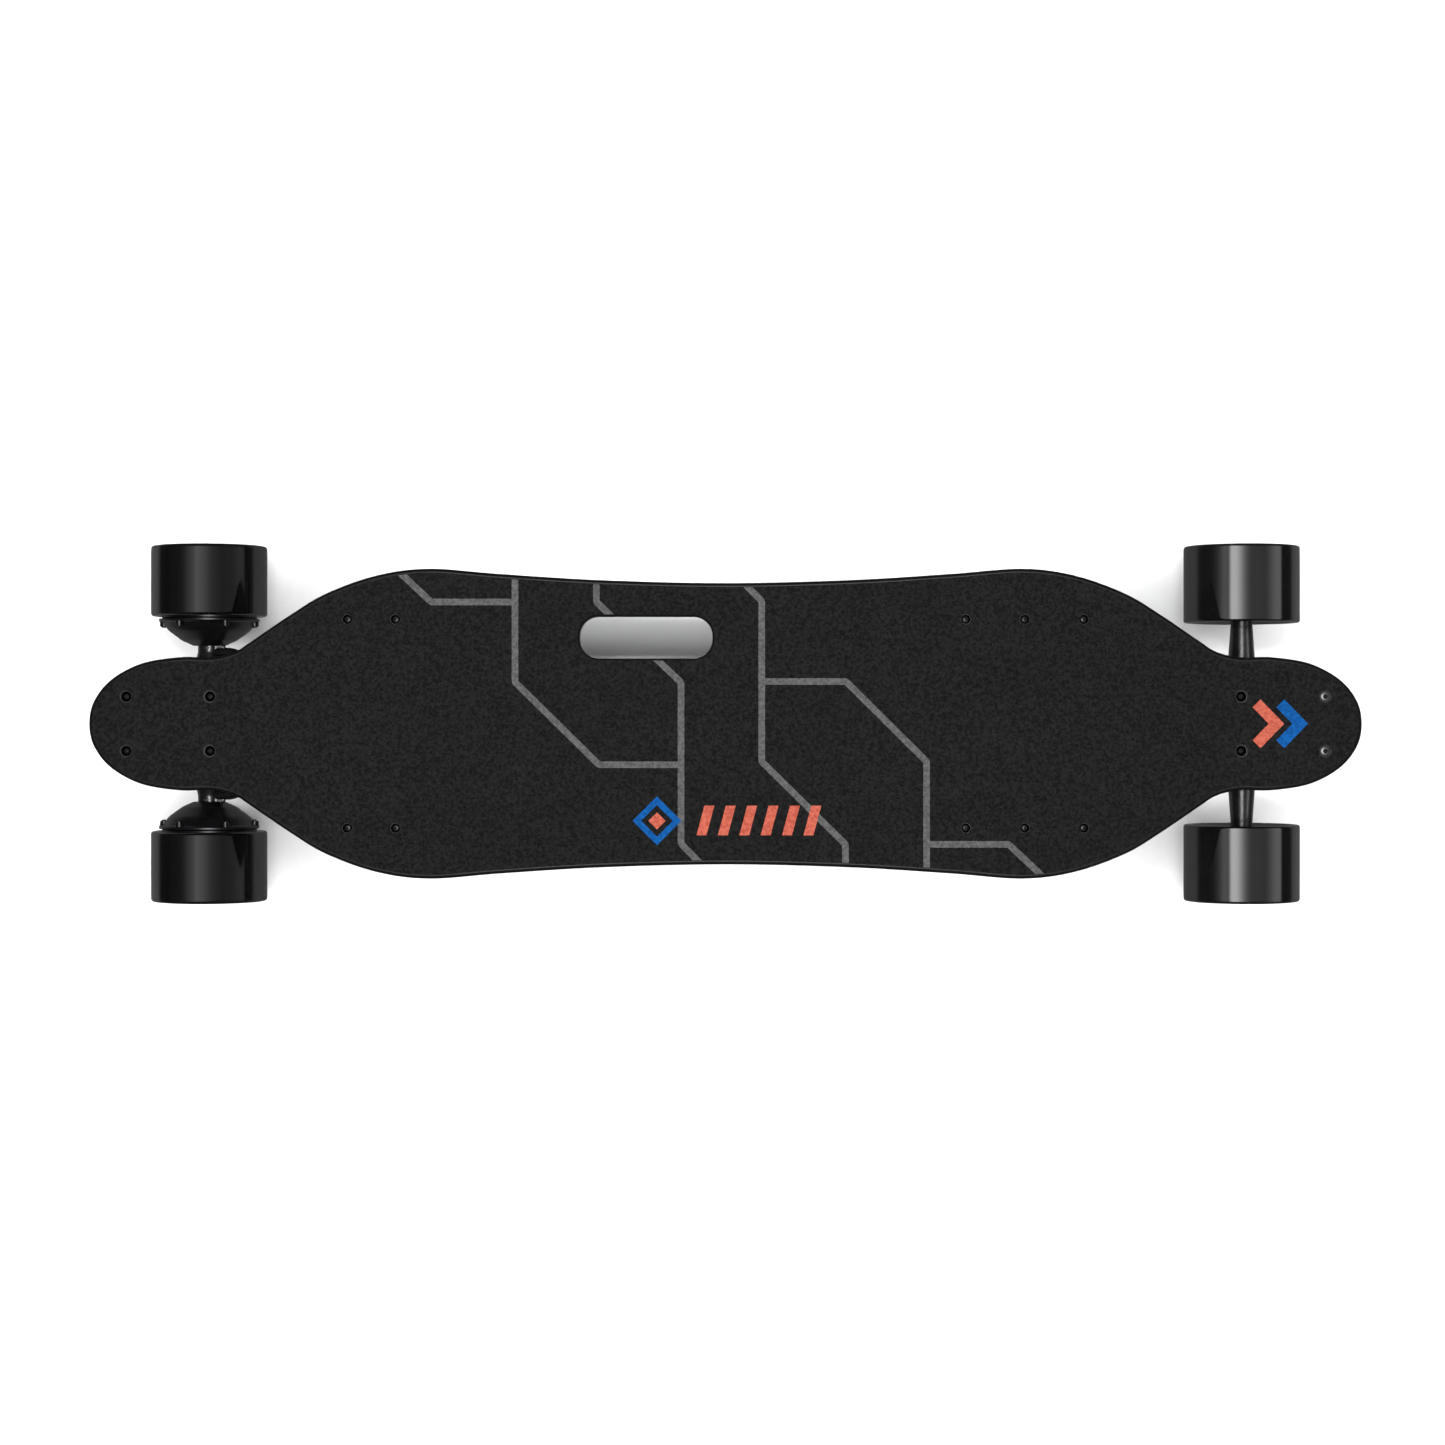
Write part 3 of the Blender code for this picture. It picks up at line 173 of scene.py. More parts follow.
def grit(name, dark, light):
    """Abrasive grit: small grains with dark gaps, in slightly cloudy tone."""
    made = Paint(name)
    grains = made.cells(1500.0)
    fine = made.noise(1100.0, 3.0, 0.7)
    clumps = made.noise(430.0, 2.0, 0.6)
    clouds = made.noise(28.0, 4.0, 0.6)
    both = made.add("ShaderNodeMath", {0: made.ramp(fine, 0.30, 0.70), 1: made.ramp(clumps, 0.34, 0.66)},
                    operation="ADD").outputs[0]
    shade = made.add("ShaderNodeMath", {
        0: made.ramp(both, 0.45, 1.55), 1: made.ramp(clouds, 0.2, 0.8, 0.8, 1.1)},
        operation="MULTIPLY").outputs[0]
    return made.finished({
        "Base Color": made.mix(shade, dark, light), "Specular IOR Level": 0.25,
        "Roughness": made.ramp(grains, 0.0, 0.6, 0.72, 0.95),
        "Normal": made.bump(fine, 0.00025, 0.7, made.bump(grains, 0.00018, 0.7))})


def lacquered_wood(name):
    """Black lacquer over veneer, with the grain telegraphing through lengthwise."""
    made = Paint(name)
    grain = made.noise(90.0, 6.0, 0.65, made.stretched((0.05, 1.0, 2.5)))
    specks = made.noise(1400.0, 2.0, 0.5)
    dark, light = (0.0035, 0.0035, 0.0038), (0.0085, 0.0082, 0.0080)
    return made.finished({
        "Base Color": made.mix(made.ramp(grain, 0.35, 0.7), dark, light), "Specular IOR Level": 0.30,
        "Roughness": made.ramp(specks, 0.3, 0.7, 0.26, 0.40), "Normal": made.bump(grain, 0.00012, 0.5)})


def glow(name, colour, strength):
    """A small status light behind a diffusing lens."""
    made = Paint(name)
    cloud = made.noise(900.0, 2.0)
    return made.finished({
        "Base Color": made.mix(made.ramp(cloud, 0.3, 0.7), colour, tuple(0.8 * c for c in colour)),
        "Emission Color": (*colour, 1.0), "Emission Strength": strength, "Roughness": 0.25})


MAT = {
    "grip": grit("grip_grit", tone(0.0030), tone(0.0235)),
    "line": grit("grip_line_grit", tone(0.102, 0.104), tone(0.212, 0.214)),
    "coral": grit("mark_coral", (0.62, 0.110, 0.070), (0.95, 0.230, 0.150)),
    "blue": grit("mark_blue", (0.002, 0.095, 0.36), (0.008, 0.165, 0.60)),
    "deck": lacquered_wood("deck_lacquer"),
    "truck": surface("truck_paint", tone(0.0045, 0.005), tone(0.010, 0.011), 70, 1600,
                     (0.24, 0.36), 0.00006, coat=0.25),
    "steel": surface("zinc_steel", tone(0.30, 0.31), tone(0.60, 0.61), 140, 1500, (0.22, 0.40),
                     0.00003, metallic=1.0, stretch=(1, 1, 6)),
    "dark_steel": surface("black_oxide", tone(0.032, 0.034), tone(0.058, 0.061), 160, 1500,
                          (0.24, 0.34), 0.00001, metallic=1.0),
    "bright": surface("bright_steel", tone(0.15, 0.155), tone(0.22, 0.225), 200, 1200,
                      (0.40, 0.50), 0.00001, metallic=1.0),
    # painted shade: near-black colour for the insides of screw sockets, standing for the shadow in the recess
    # rather than the steel's own colour
    "socket": surface("socket_shade", tone(0.002), tone(0.006), 300, 1500,
                      (0.5, 0.7), 0.00002, specular=0.2),
    "tyre": surface("urethane_black", tone(0.0035, 0.0038), tone(0.0070, 0.0074), 45, 1100,
                    (0.07, 0.13), 0.00001, specular=0.55),
    "core": surface("core_nylon", tone(0.008, 0.009), tone(0.020, 0.021), 80, 1300,
                    (0.42, 0.55), 0.00006),
    "motor": surface("motor_anodised", tone(0.006, 0.007), tone(0.014, 0.016), 120, 1800,
                     (0.28, 0.38), 0.00003, metallic=0.5),
    "copper": surface("copper_winding", (0.28, 0.10, 0.04), (0.60, 0.27, 0.12), 200, 700,
                      (0.25, 0.40), 0.0001, metallic=1.0, stretch=(6, 1, 1)),
    "bushing": surface("bushing_urethane", tone(0.012, 0.014), tone(0.030, 0.034), 90, 900,
                       (0.32, 0.46), 0.00005),
    "rubber": surface("soft_rubber", tone(0.007), tone(0.016), 90, 1200,
                      (0.55, 0.72), 0.00007, specular=0.35),
    "housing": surface("housing_plastic", tone(0.0055, 0.006), tone(0.014, 0.015), 60, 1500,
                       (0.40, 0.56), 0.00012),
    "alloy": surface("brushed_alloy", (0.30, 0.31, 0.33), (0.52, 0.53, 0.55), 90, 1300,
                     (0.26, 0.42), 0.00003, metallic=1.0, stretch=(0.05, 1, 1)),
    "wrap": surface("cell_wrap", (0.010, 0.060, 0.22), (0.030, 0.130, 0.40), 60, 900, (0.3, 0.45),
                    0.00005),
    "circuit": surface("solder_mask", (0.008, 0.075, 0.030), (0.020, 0.140, 0.060), 300, 1200,
                       (0.3, 0.5), 0.00006),
    "sheath": surface("cable_sheath", tone(0.006), tone(0.013), 120, 900,
                      (0.38, 0.52), 0.00006),
    "shield": surface("bearing_shield", tone(0.025, 0.027), tone(0.060, 0.065), 300, 1600,
                      (0.30, 0.42), 0.00003, metallic=0.6),
    "led": glow("status_light", (0.05, 0.55, 1.0), 1.5),
}


# ==== outlines and profiles ====
def filleted(points, closed=True, steps=5):
    """Corners (x, y, radius) turned into smooth bends; a corner without a radius stays sharp."""
    made = []
    count = len(points)
    for index, corner in enumerate(points):
        here = Vector(corner[:2])
        radius = corner[2] if len(corner) > 2 else 0.0
        if radius <= 0 or (not closed and index in (0, count - 1)):
            made.append(tuple(here))
            continue
        before = Vector(points[index - 1][:2]) - here
        after = Vector(points[(index + 1) % count][:2]) - here
        half = before.angle(after) / 2
        reach = min(radius / max(math.tan(half), 1e-6), 0.49 * before.length, 0.49 * after.length)
        start = here + before.normalized() * reach
        end = here + after.normalized() * reach
        for step in range(steps + 1):
            t = step / steps
            made.append(tuple(start * (1 - t) ** 2 + here * 2 * t * (1 - t) + end * t * t))
    return made


def arc(radius, turns, centre=(0.0, 0.0)):
    """Points at the given angles round a centre."""
    return [(centre[0] + radius * math.cos(a), centre[1] + radius * math.sin(a)) for a in turns]


def circle(radius, count=32, centre=(0.0, 0.0), phase=0.0):
    return arc(radius, [phase + 2 * math.pi * index / count for index in range(count)], centre)


def quarter(steps, first=0):
    """Angles of a quarter turn; the first quarter starts at 0 degrees."""
    return [math.radians(90 * (first + step / steps)) for step in range(steps + 1)]


def rectangle(half_x, half_y, radius, centre=(0.0, 0.0), steps=6):
    """A rectangle with true round corners."""
    points = []
    for index, (sx, sy) in enumerate(((1, 1), (-1, 1), (-1, -1), (1, -1))):
        middle = (centre[0] + sx * (half_x - radius), centre[1] + sy * (half_y - radius))
        points += arc(radius, quarter(steps, index), middle)
    return points


def smooth_points(knots, steps):
    """Points on a Catmull-Rom curve through the knots."""
    knots = [Vector(knot) for knot in knots]
    ends = [2 * knots[0] - knots[1]] + knots + [2 * knots[-1] - knots[-2]]
    points = []
    for a, b, c, d in zip(ends, ends[1:], ends[2:], ends[3:]):
        for step in range(steps):
            t = step / steps
            points.append(0.5 * (2 * b + (c - a) * t + (2 * a - 5 * b + 4 * c - d) * t * t
                                 + (3 * b - a - 3 * c + d) * t ** 3))
    return points + [knots[-1]]


def inset(outline, amount):
    """A counterclockwise outline moved inwards along its own normals."""
    moved = []
    for index, (x, y) in enumerate(outline):
        before = Vector(outline[index - 1])
        after = Vector(outline[(index + 1) % len(outline)])
        along = (after - before).normalized()
        moved.append((x - along.y * amount, y + along.x * amount))
    return moved


# ==== meshes ====
def axis_frame(origin, z_axis, x_axis=None):
    """A frame whose Z runs along z_axis from origin."""
    z = Vector(z_axis).normalized()
    x = Vector(x_axis) if x_axis else Vector((0, 0, 1)) if abs(z.z) < 0.9 else Vector((1, 0, 0))
    x = (x - z * x.dot(z)).normalized()
    rotation = Matrix((x, z.cross(x), z)).transposed().to_4x4()
    return Matrix.Translation(Vector(origin)) @ rotation


def at(place, x, y, z):
    """A point given in a frame, in millimetres."""
    return place @ Vector((x * MM, y * MM, z * MM))


def band(bm, near, far):
    """Joins two loops of vertices by faces; a loop may also be a single vertex."""
    sides = max(len(near), len(far))
    for index in range(sides):
        after = (index + 1) % sides
        corners = [near[index % len(near)], near[after % len(near)], far[after % len(far)],
                   far[index % len(far)]]
        unique = list(dict.fromkeys(corners))
        if len(unique) > 2:
            bm.faces.new(unique)


def lathe(profile, place, sides, bm=None):
    """Turns a profile of (radius, height) in millimetres about the frame's Z.

    The profile is a loop, unless it starts and ends on the axis.
    """
    bm = bm or bmesh.new()
    rings = []
    for radius, height in profile:
        spots = circle(radius, sides) if radius else [(0, 0)]
        rings.append([bm.verts.new(at(place, x, y, height)) for x, y in spots])
    if profile[0][0] > 0:
        rings.append(rings[0])
    for near, far in zip(rings, rings[1:]):
        band(bm, near, far)
    return bm


def skin(bm, loops):
    """Joins loops of equally many vertices one after another, and closes both ends."""
    for near, far in zip(loops, loops[1:]):
        band(bm, near, far)
    bm.faces.new(loops[0])
    bm.faces.new(loops[-1])
    return bm


def stack(levels, place=Matrix.Identity(4), bm=None):
    """A closed body through outlines (points in mm, height in mm) of equal point counts."""
    bm = bm or bmesh.new()
    return skin(bm, [[bm.verts.new(at(place, x, y, height)) for x, y in outline]
                     for outline, height in levels])


def prism(outline, low, high, place=Matrix.Identity(4), bm=None):
    """An extruded outline in mm with sharp edges."""
    return stack([(outline, low), (outline, high)], place, bm)


def disc(radius, low, high, place=Matrix.Identity(4), sides=32, centre=(0.0, 0.0), bm=None):
    """A plain round or many-sided rod, in mm."""
    return prism(circle(radius, sides, centre), low, high, place, bm)


def rod(radius, low, high):
    """The profile of a plain rod, for lathe."""
    return [(0, low), (radius, low), (radius, high), (0, high)]


def rounded_levels(outline, low, high, edge_low, edge_high, steps=5, side=1):
    """Outlines and heights of a slab with two rounded edges, or of a flared hole when side is -1."""
    turns = quarter(steps)
    lower = [(inset(outline, side * edge_low * (1 - math.sin(a))), low + edge_low * (1 - math.cos(a)))
             for a in turns]
    upper = [(inset(outline, side * edge_high * (1 - math.cos(a))), high - edge_high * (1 - math.sin(a)))
             for a in turns]
    return lower + upper


def slab(outline, low, high, edge, place, steps=3):
    """An extruded outline in mm with both edges rounded alike."""
    return stack(rounded_levels(outline, low, high, edge, edge, steps), place)


def hull(points):
    """The convex body around points in metres."""
    made = bmesh.new()
    for point in points:
        made.verts.new(point)
    result = bmesh.ops.convex_hull(made, input=made.verts)
    spare = [item for item in result["geom_interior"] if isinstance(item, bmesh.types.BMVert)]
    bmesh.ops.delete(made, geom=spare, context="VERTS")
    return made


def pipe(points, radius, sides):
    """A round bar along points in metres, with flat ends."""
    bm = bmesh.new()
    points = [Vector(p) for p in points]
    normal = None
    rings = []
    for index, point in enumerate(points):
        ahead = points[min(index + 1, len(points) - 1)] - points[max(index - 1, 0)]
        tangent = ahead.normalized()
        if normal is None:
            normal = tangent.orthogonal().normalized()
        normal = (normal - tangent * normal.dot(tangent)).normalized()
        side = tangent.cross(normal)
        rings.append([bm.verts.new(point + (normal * x + side * y)) for x, y in circle(radius, sides)])
    return skin(bm, rings)


def evaluated_mesh(made):
    """The object's mesh with its modifiers applied."""
    graph = bpy.context.evaluated_depsgraph_get()
    mesh = bpy.data.meshes.new_from_object(made.evaluated_get(graph))
    made.modifiers.clear()
    old = made.data
    made.data = mesh
    bpy.data.meshes.remove(old)


def linked(name, bm, material):
    """A new object in the scene with the bmesh as its mesh."""
    mesh = bpy.data.meshes.new(name)
    bm.to_mesh(mesh)
    bm.free()
    mesh.materials.append(material)
    made = bpy.data.objects.new(name, mesh)
    bpy.context.scene.collection.objects.link(made)
    return made


def piece(name, bm, mat, body=None, merge=True):
    """Makes one shown piece from a bmesh and lets it ride on its body.

    A piece with a CAD node's name replaces that node.
    """
    if merge:
        bmesh.ops.remove_doubles(bm, verts=bm.verts, dist=2e-6)
    bmesh.ops.recalc_face_normals(bm, faces=bm.faces)
    made = linked(f"{name}_skin" if name in frame["nodes"] else name, bm, MAT[mat])
    dress(made)
    if body:
        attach(made, body)
    if name in frame["nodes"]:
        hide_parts(name)
    return made


def dress(made, sharp=SHARP):
    made.data.shade_smooth()
    made.data.set_sharp_from_angle(angle=math.radians(sharp))


def cut(made, bm, operation="DIFFERENCE", solver="EXACT", sharp=SHARP, mat=None):
    """Cuts a bmesh out of a piece, or joins it on; the new faces may have a material of their own."""
    bmesh.ops.recalc_face_normals(bm, faces=bm.faces)
    tool = linked("cutter", bm, MAT[mat] if mat else made.data.materials[0])
    modifier = made.modifiers.new("cut", "BOOLEAN")
    modifier.operation = operation
    modifier.solver = solver
    modifier.material_mode = "TRANSFER" if mat else "INDEX"
    modifier.object = tool
    bpy.context.view_layer.update()
    evaluated_mesh(made)
    bpy.data.objects.remove(tool)
    dress(made, sharp)


def casting(name, parts, mat, body, cuts):
    """Overlapping solids melted into one casting with soft fillets, then machined by the cuts."""
    bm = bmesh.new()
    for part in parts:
        bmesh.ops.recalc_face_normals(part, faces=part.faces)
        mesh = bpy.data.meshes.new("part")
        part.to_mesh(mesh)
        part.free()
        bm.from_mesh(mesh)
        bpy.data.meshes.remove(mesh)
    made = piece(name, bm, mat, merge=False)
    remesh = made.modifiers.new("melt", "REMESH")
    remesh.mode = "VOXEL"
    remesh.voxel_size = CASTING_VOXEL
    smooth = made.modifiers.new("soften", "SMOOTH")
    smooth.factor = 0.5
    smooth.iterations = CASTING_PASSES
    bpy.context.view_layer.update()
    evaluated_mesh(made)
    made.data.materials.clear()
    made.data.materials.append(MAT[mat])
    for cutter in cuts:
        cut(made, cutter, solver="MANIFOLD", sharp=CASTING_SHARP)
    dress(made, CASTING_SHARP)
    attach(made, body)


# ==== fasteners ====
def shift(x, y, z=0.0):
    """A frame moved to a place in millimetres."""
    return Matrix.Translation((x * MM, y * MM, z * MM))


def threaded(radius, start, end, pitch=0.9):
    """Profile points of a thread's ridges along a rod, between two heights."""
    count = max(2, round((end - start) / pitch))
    points = []
    for index in range(count):
        points.append((radius, start + (end - start) * (index + 0.25) / count))
        points.append((radius - 0.35 * pitch, start + (end - start) * (index + 0.75) / count))
    return points


HEAD_TURN = 1.1                  # how far a domed head's arc goes, in radians


def screw(name, place, head, shaft, length, mat, body, socket, height, dome=0.7):
    """A round-headed screw with a hexagonal socket; its head stands on Z = 0 and the shaft goes down."""
    turns = [HEAD_TURN * step for step in (1.0, 0.82, 0.64, 0.46, 0.28, 0.14)]
    rim = [(head, 0)] + [(head * math.sin(turn) / math.sin(HEAD_TURN), height * (1 - dome * (
        1 - math.cos(turn)) / (1 - math.cos(HEAD_TURN)))) for turn in turns]
    profile = [(0, height)] + rim[::-1] + [(shaft, 0), (shaft, -length + 0.6), (shaft - 0.5, -length),
                                           (0, -length)]
    made = piece(name, lathe(profile, place, 40), mat, body)
    # the socket's walls and floor get the near-black material, which is painted shade for the recess
    cut(made, disc(socket, -0.4, height + 1, place, 6), mat="socket")


def hex_nut(name, place, radius, bore, low, high, body):
    """A chamfered hexagon nut with a nylon collar on its upper end."""
    neck = high - 0.25 * (high - low)
    made = piece(name, disc(radius, low, neck, place, 6), "steel", body)
    chamfer = 0.10 * radius
    cone = lathe([(0, low - 0.01), (radius - chamfer, low - 0.01), (radius + 0.01, low + chamfer),
                  (radius + 0.01, neck - chamfer), (radius - chamfer, neck + 0.01), (0, neck + 0.01)],
                 place, 48)
    cut(made, cone, "INTERSECT")
    collar = filleted([(0.5 * bore, neck - 0.2), (0.80 * radius, neck - 0.2), (0.80 * radius, high, 0.7),
                       (0.5 * bore, high)])
    cut(made, lathe(collar, place, 40), "UNION")
    cut(made, lathe(rod(bore, low - 1, high + 1), place, 32))


# ==== deck ====
DECK_KNOTS = [
    (0.0, 106.7), (94.6, 109.0), (170.3, 113.6), (225.0, 117.6), (265.0, 112.4), (302.8, 98.8),
    (329.7, 82.8), (359.6, 62.5), (372.4, 54.5), (390.0, 50.4), (414.0, 50.5), (442.8, 45.8),
    (465.6, 33.7), (478.8, 17.4), (482.5, 0.0)]
KNOT_STEPS = 8
EDGE_TOP = 2.6
EDGE_BOTTOM = 4.0
GRIP_INSET = 3.0
SLOT_CENTRE = (-60.2, 65.3)
SLOT_HALF = (50.3, 15.8)
SLOT_CORNER = 14.5
BOLT_CORNERS = [(x, y) for x in (31.75, -31.75) for y in (20.65, -20.65)]
TRUCK_X = 0.5 * sum(corner.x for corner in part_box("front_riser_pad")) / MM
BATTERY_X = 0.5 * sum(corner.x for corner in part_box("battery_management_board")) / MM
ESC_X = 0.5 * sum(corner.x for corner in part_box("controller_board")) / MM
SCREW_Y = 79.1
BATTERY_SCREWS = (-44.7, 0.0, 44.7)
ESC_SCREWS = (-18.2, 18.2)
BOLT_HOLE = 4.7                  # round the bolts' heads
BOLT_SHAFT_HOLE = 2.8
BOLT_SEAT = 3.6                  # how deep the heads' seats are in the deck
SCREW_HOLE = 3.6


def deck_outline():
    """The deck's outline, counterclockwise, from one quarter's knots."""
    (x, y), (end_x, end_y) = DECK_KNOTS[1], DECK_KNOTS[-2]
    mirrored = [(-x, y)] + DECK_KNOTS + [(end_x, -end_y)]
    curve = smooth_points(mirrored, KNOT_STEPS)[KNOT_STEPS:-KNOT_STEPS]
    curve = [(point.x, point.y) for point in curve]
    left = curve[::-1] + [(-x, y) for x, y in curve[1:]]
    return left + [(-x, -y) for x, y in left[1:-1]]


def truck_bolts():
    """Places of the eight truck bolts, in millimetres."""
    return [(end * (TRUCK_X + x), y) for end in (1, -1) for x, y in BOLT_CORNERS]


def housing_screws():
    """Places of the ten housing screws, in millimetres."""
    along = [BATTERY_X + x for x in BATTERY_SCREWS] + [ESC_X + x for x in ESC_SCREWS]
    return [(x, side * SCREW_Y) for x in along for side in (1, -1)]


def slot_cutter(low, high, lip, margin=0.0):
    """The handle slot with flared lips at both faces."""
    outline = rectangle(SLOT_HALF[0] + margin, SLOT_HALF[1] + margin, SLOT_CORNER + margin,
                        SLOT_CENTRE, 12)
    wide = inset(outline, -lip)
    flared = rounded_levels(outline, low, high, lip, lip, 4, side=-1)
    return stack([(wide, low - 1.0), *flared, (wide, high + 1.0)])


def make_deck():
    low, high = DECK_LOW / MM, DECK_HIGH / MM
    body = stack(rounded_levels(deck_outline(), low, high, EDGE_BOTTOM, EDGE_TOP))
    deck = piece("deck", body, "deck", "board")
    cut(deck, slot_cutter(low, high, 2.2))
    holes = bmesh.new()
    seat = high - BOLT_SEAT
    for x, y in truck_bolts():
        profile = [(0, high + 1), (BOLT_HOLE, high + 1), (BOLT_HOLE, seat), (BOLT_SHAFT_HOLE, seat),
                   (BOLT_SHAFT_HOLE, low - 1), (0, low - 1)]
        lathe(profile, shift(x, y), 32, holes)
    for x, y in housing_screws():
        lathe(rod(SCREW_HOLE, high + 1, low - 1), shift(x, y), 28, holes)
    cut(deck, holes)


def make_grip_tape():
    low, high = DECK_HIGH / MM + 0.05, GRIP_TOP / MM
    outline = inset(deck_outline(), GRIP_INSET)
    tape = piece("grip_tape", stack(rounded_levels(outline, low, high, 0.05, 0.35, 3)), "grip", "board")
    cut(tape, slot_cutter(low, high, 0.3, 1.4))
    holes = bmesh.new()
    for places, radius in ((truck_bolts(), BOLT_HOLE + 0.3), (housing_screws(), SCREW_HOLE + 0.2)):
        for x, y in places:
            disc(radius, low - 1, high + 1, centre=(x, y), bm=holes)
    cut(tape, holes)


# ==== printed pattern ====
LINE_WIDTH = 5.0
LINES = [
    [(-262.0, 129.0), (-222.9, 92.2), (-160.0, 92.2)],
    [(-159.4, 125.0), (-159.4, 31.6), (-95.9, -31.0), (-33.7, -31.0)],
    [(-97.8, 125.0), (-97.8, 92.2), (-33.7, 31.3), (-33.7, -90.8), (-14.0, -111.0)],
    [(8.0, 112.5), (27.4, 92.9), (27.4, -28.6), (90.8, -91.3), (90.8, -125.0)],
    [(27.4, 32.0), (91.2, 32.0), (152.2, -28.6), (152.2, -125.0)],
    [(152.2, -91.3), (214.4, -91.3), (250.0, -125.0)],
]
LINE_BEND = 3.5
PRINT_SINK = 0.05
LINE_HEIGHT = 0.04
MARK_HEIGHT = 0.08
BAR_START = -22.0
BAR_PITCH = 16.2


def ribbon(points, width):
    """The outline of a strip of even width along points, with mitred bends."""
    left, right = [], []
    for index, point in enumerate(points):
        here = Vector(point)
        before = (here - Vector(points[index - 1])).normalized() if index else None
        last = index == len(points) - 1
        after = None if last else (Vector(points[index + 1]) - here).normalized()
        along = (before or after) + (after or before)
        normal = Vector((-along.y, along.x)).normalized()
        facing = Vector((-(after or before).y, (after or before).x))
        reach = 0.5 * width / normal.dot(facing)
        left.append(tuple(here + normal * reach))
        right.append(tuple(here - normal * reach))
    return right + left[::-1]


def printed(name, outlines, height, mat):
    """Flat print on the grip tape, cut off at the tape's edge and at the slot."""
    low, high = GRIP_TOP / MM - PRINT_SINK, GRIP_TOP / MM + height
    made = piece(name, prism(outlines[0], low, high), mat, "board")
    for outline in outlines[1:]:
        cut(made, prism(outline, low, high), "UNION")
    cut(made, prism(inset(deck_outline(), GRIP_INSET + 0.5), low - 1, high + 1), "INTERSECT")
    cut(made, slot_cutter(low - 1, high + 1, 0.3, 1.7))
    return made


def make_print():
    paths = [filleted([(x, y, LINE_BEND) for x, y in points], False, 4) for points in LINES]
    printed("grip_lines", [ribbon(points, LINE_WIDTH) for points in paths], LINE_HEIGHT, "line")
    bars = []
    for index in range(6):
        x = BAR_START + BAR_PITCH * index
        bars.append([(x, -84.5), (x + 7.5, -84.5), (x + 13.5, -62.0), (x + 6.0, -62.0)])
    printed("grip_mark_bars", bars, MARK_HEIGHT, "coral")
    corner = [(0.0, 1.0), (1.0, 0.0), (0.0, -1.0), (-1.0, 0.0)]
    outer, inner, dot = ([(-51.9 + size * x, -73.5 + size * y) for x, y in corner[::-1]]
                         for size in (18.5, 12.0, 6.5))
    frame_mark = printed("grip_mark_frame", [outer], MARK_HEIGHT, "blue")
    cut(frame_mark, prism(inner, 120.0, 130.0))
    printed("grip_mark_dot", [dot], MARK_HEIGHT, "coral")
    for name, x, mat in (("rear", 402.0, "coral"), ("front", 420.0, "blue")):
        chevron = ribbon([(x, 15.5), (x + 15.0, 0.0), (x, -15.5)], 8.5)
        printed(f"grip_mark_chevron_{name}", [chevron], MARK_HEIGHT, mat)


# ==== trucks ====
BUSHING_RADIUS = 13.0
CONE_RADIUS = 10.0
KINGPIN_RADIUS = 4.75
KINGPIN_BORE = 5.15
KINGPIN_HEAD = (-29.2, -24.0)
KINGPIN_SEAT = -17.0
KINGPIN_END = 29.0
RING_HALF = 4.0
RING_RADIUS = 17.0
RING_HOLE = 8.5
GAP = 0.3                        # between neighbouring parts
WASHER = 1.5
RISER = 2.7
BASE_HALF = (40.0, 28.0)
BASE_CORNER = 8.0
BASE_SLAB = 6.0
TOWER_FACE = 57.8
TOWER_DEPTH = 11.5
TOWER_RADIUS = 11.8
CUP_RADIUS = 8.5
CUP_DEPTH = 9.5
PIVOT_RADIUS = 5.0
BEAM_RADIUS = 10.5


def spindle(half, end):
    """The profile of a turned bar that is alike on both sides of its middle."""
    return [(0, -end)] + [(radius, -y) for radius, y in reversed(half)] + half + [(0, end)]


class Truck:
    """The frames of one truck, read from the joints."""

    def __init__(self, end, sign):
        self.end = end
        self.sign = sign
        self.body = f"{end}_truck"
        steer = JOINTS[f"{end}_steer"]
        self.ring = Vector(steer["pos_m"])
        self.up_axis = Vector(steer["axis"])
        self.pin_axis = Vector((sign * self.up_axis.z, 0, -sign * self.up_axis.x))
        self.pin_frame = axis_frame(self.ring, self.pin_axis, (0, 1, 0))
        self.steer_frame = axis_frame(self.ring, -self.up_axis, (0, 1, 0))
        spin = JOINTS[f"{end}_left_spin"]["pos_m"]
        self.axle_frame = axis_frame((spin[0], 0, spin[2]), (0, 1, 0))
        turn = 0 if sign > 0 else math.pi
        base = Matrix.Translation((sign * TRUCK_X * MM, 0, BASE_TOP))
        self.frame = base @ Matrix.Rotation(turn, 4, "Z")

    def name(self, part):
        return f"{self.end}_{part}"

    def pin_point(self, height):
        return at(self.pin_frame, 0, 0, height)


def bolt_holes(place, low, high):
    """Cutters for the truck bolts, in a truck's own frame."""
    holes = bmesh.new()
    for corner in BOLT_CORNERS:
        disc(BOLT_SHAFT_HOLE, low, high, place, 28, corner, holes)
    return holes


def make_riser(truck):
    outline = rectangle(*BASE_HALF, BASE_CORNER, steps=10)
    pad = piece(truck.name("riser_pad"), slab(outline, GAP, GAP + RISER, 0.5, truck.frame), "rubber", "board")
    cut(pad, bolt_holes(truck.frame, -1, 5))


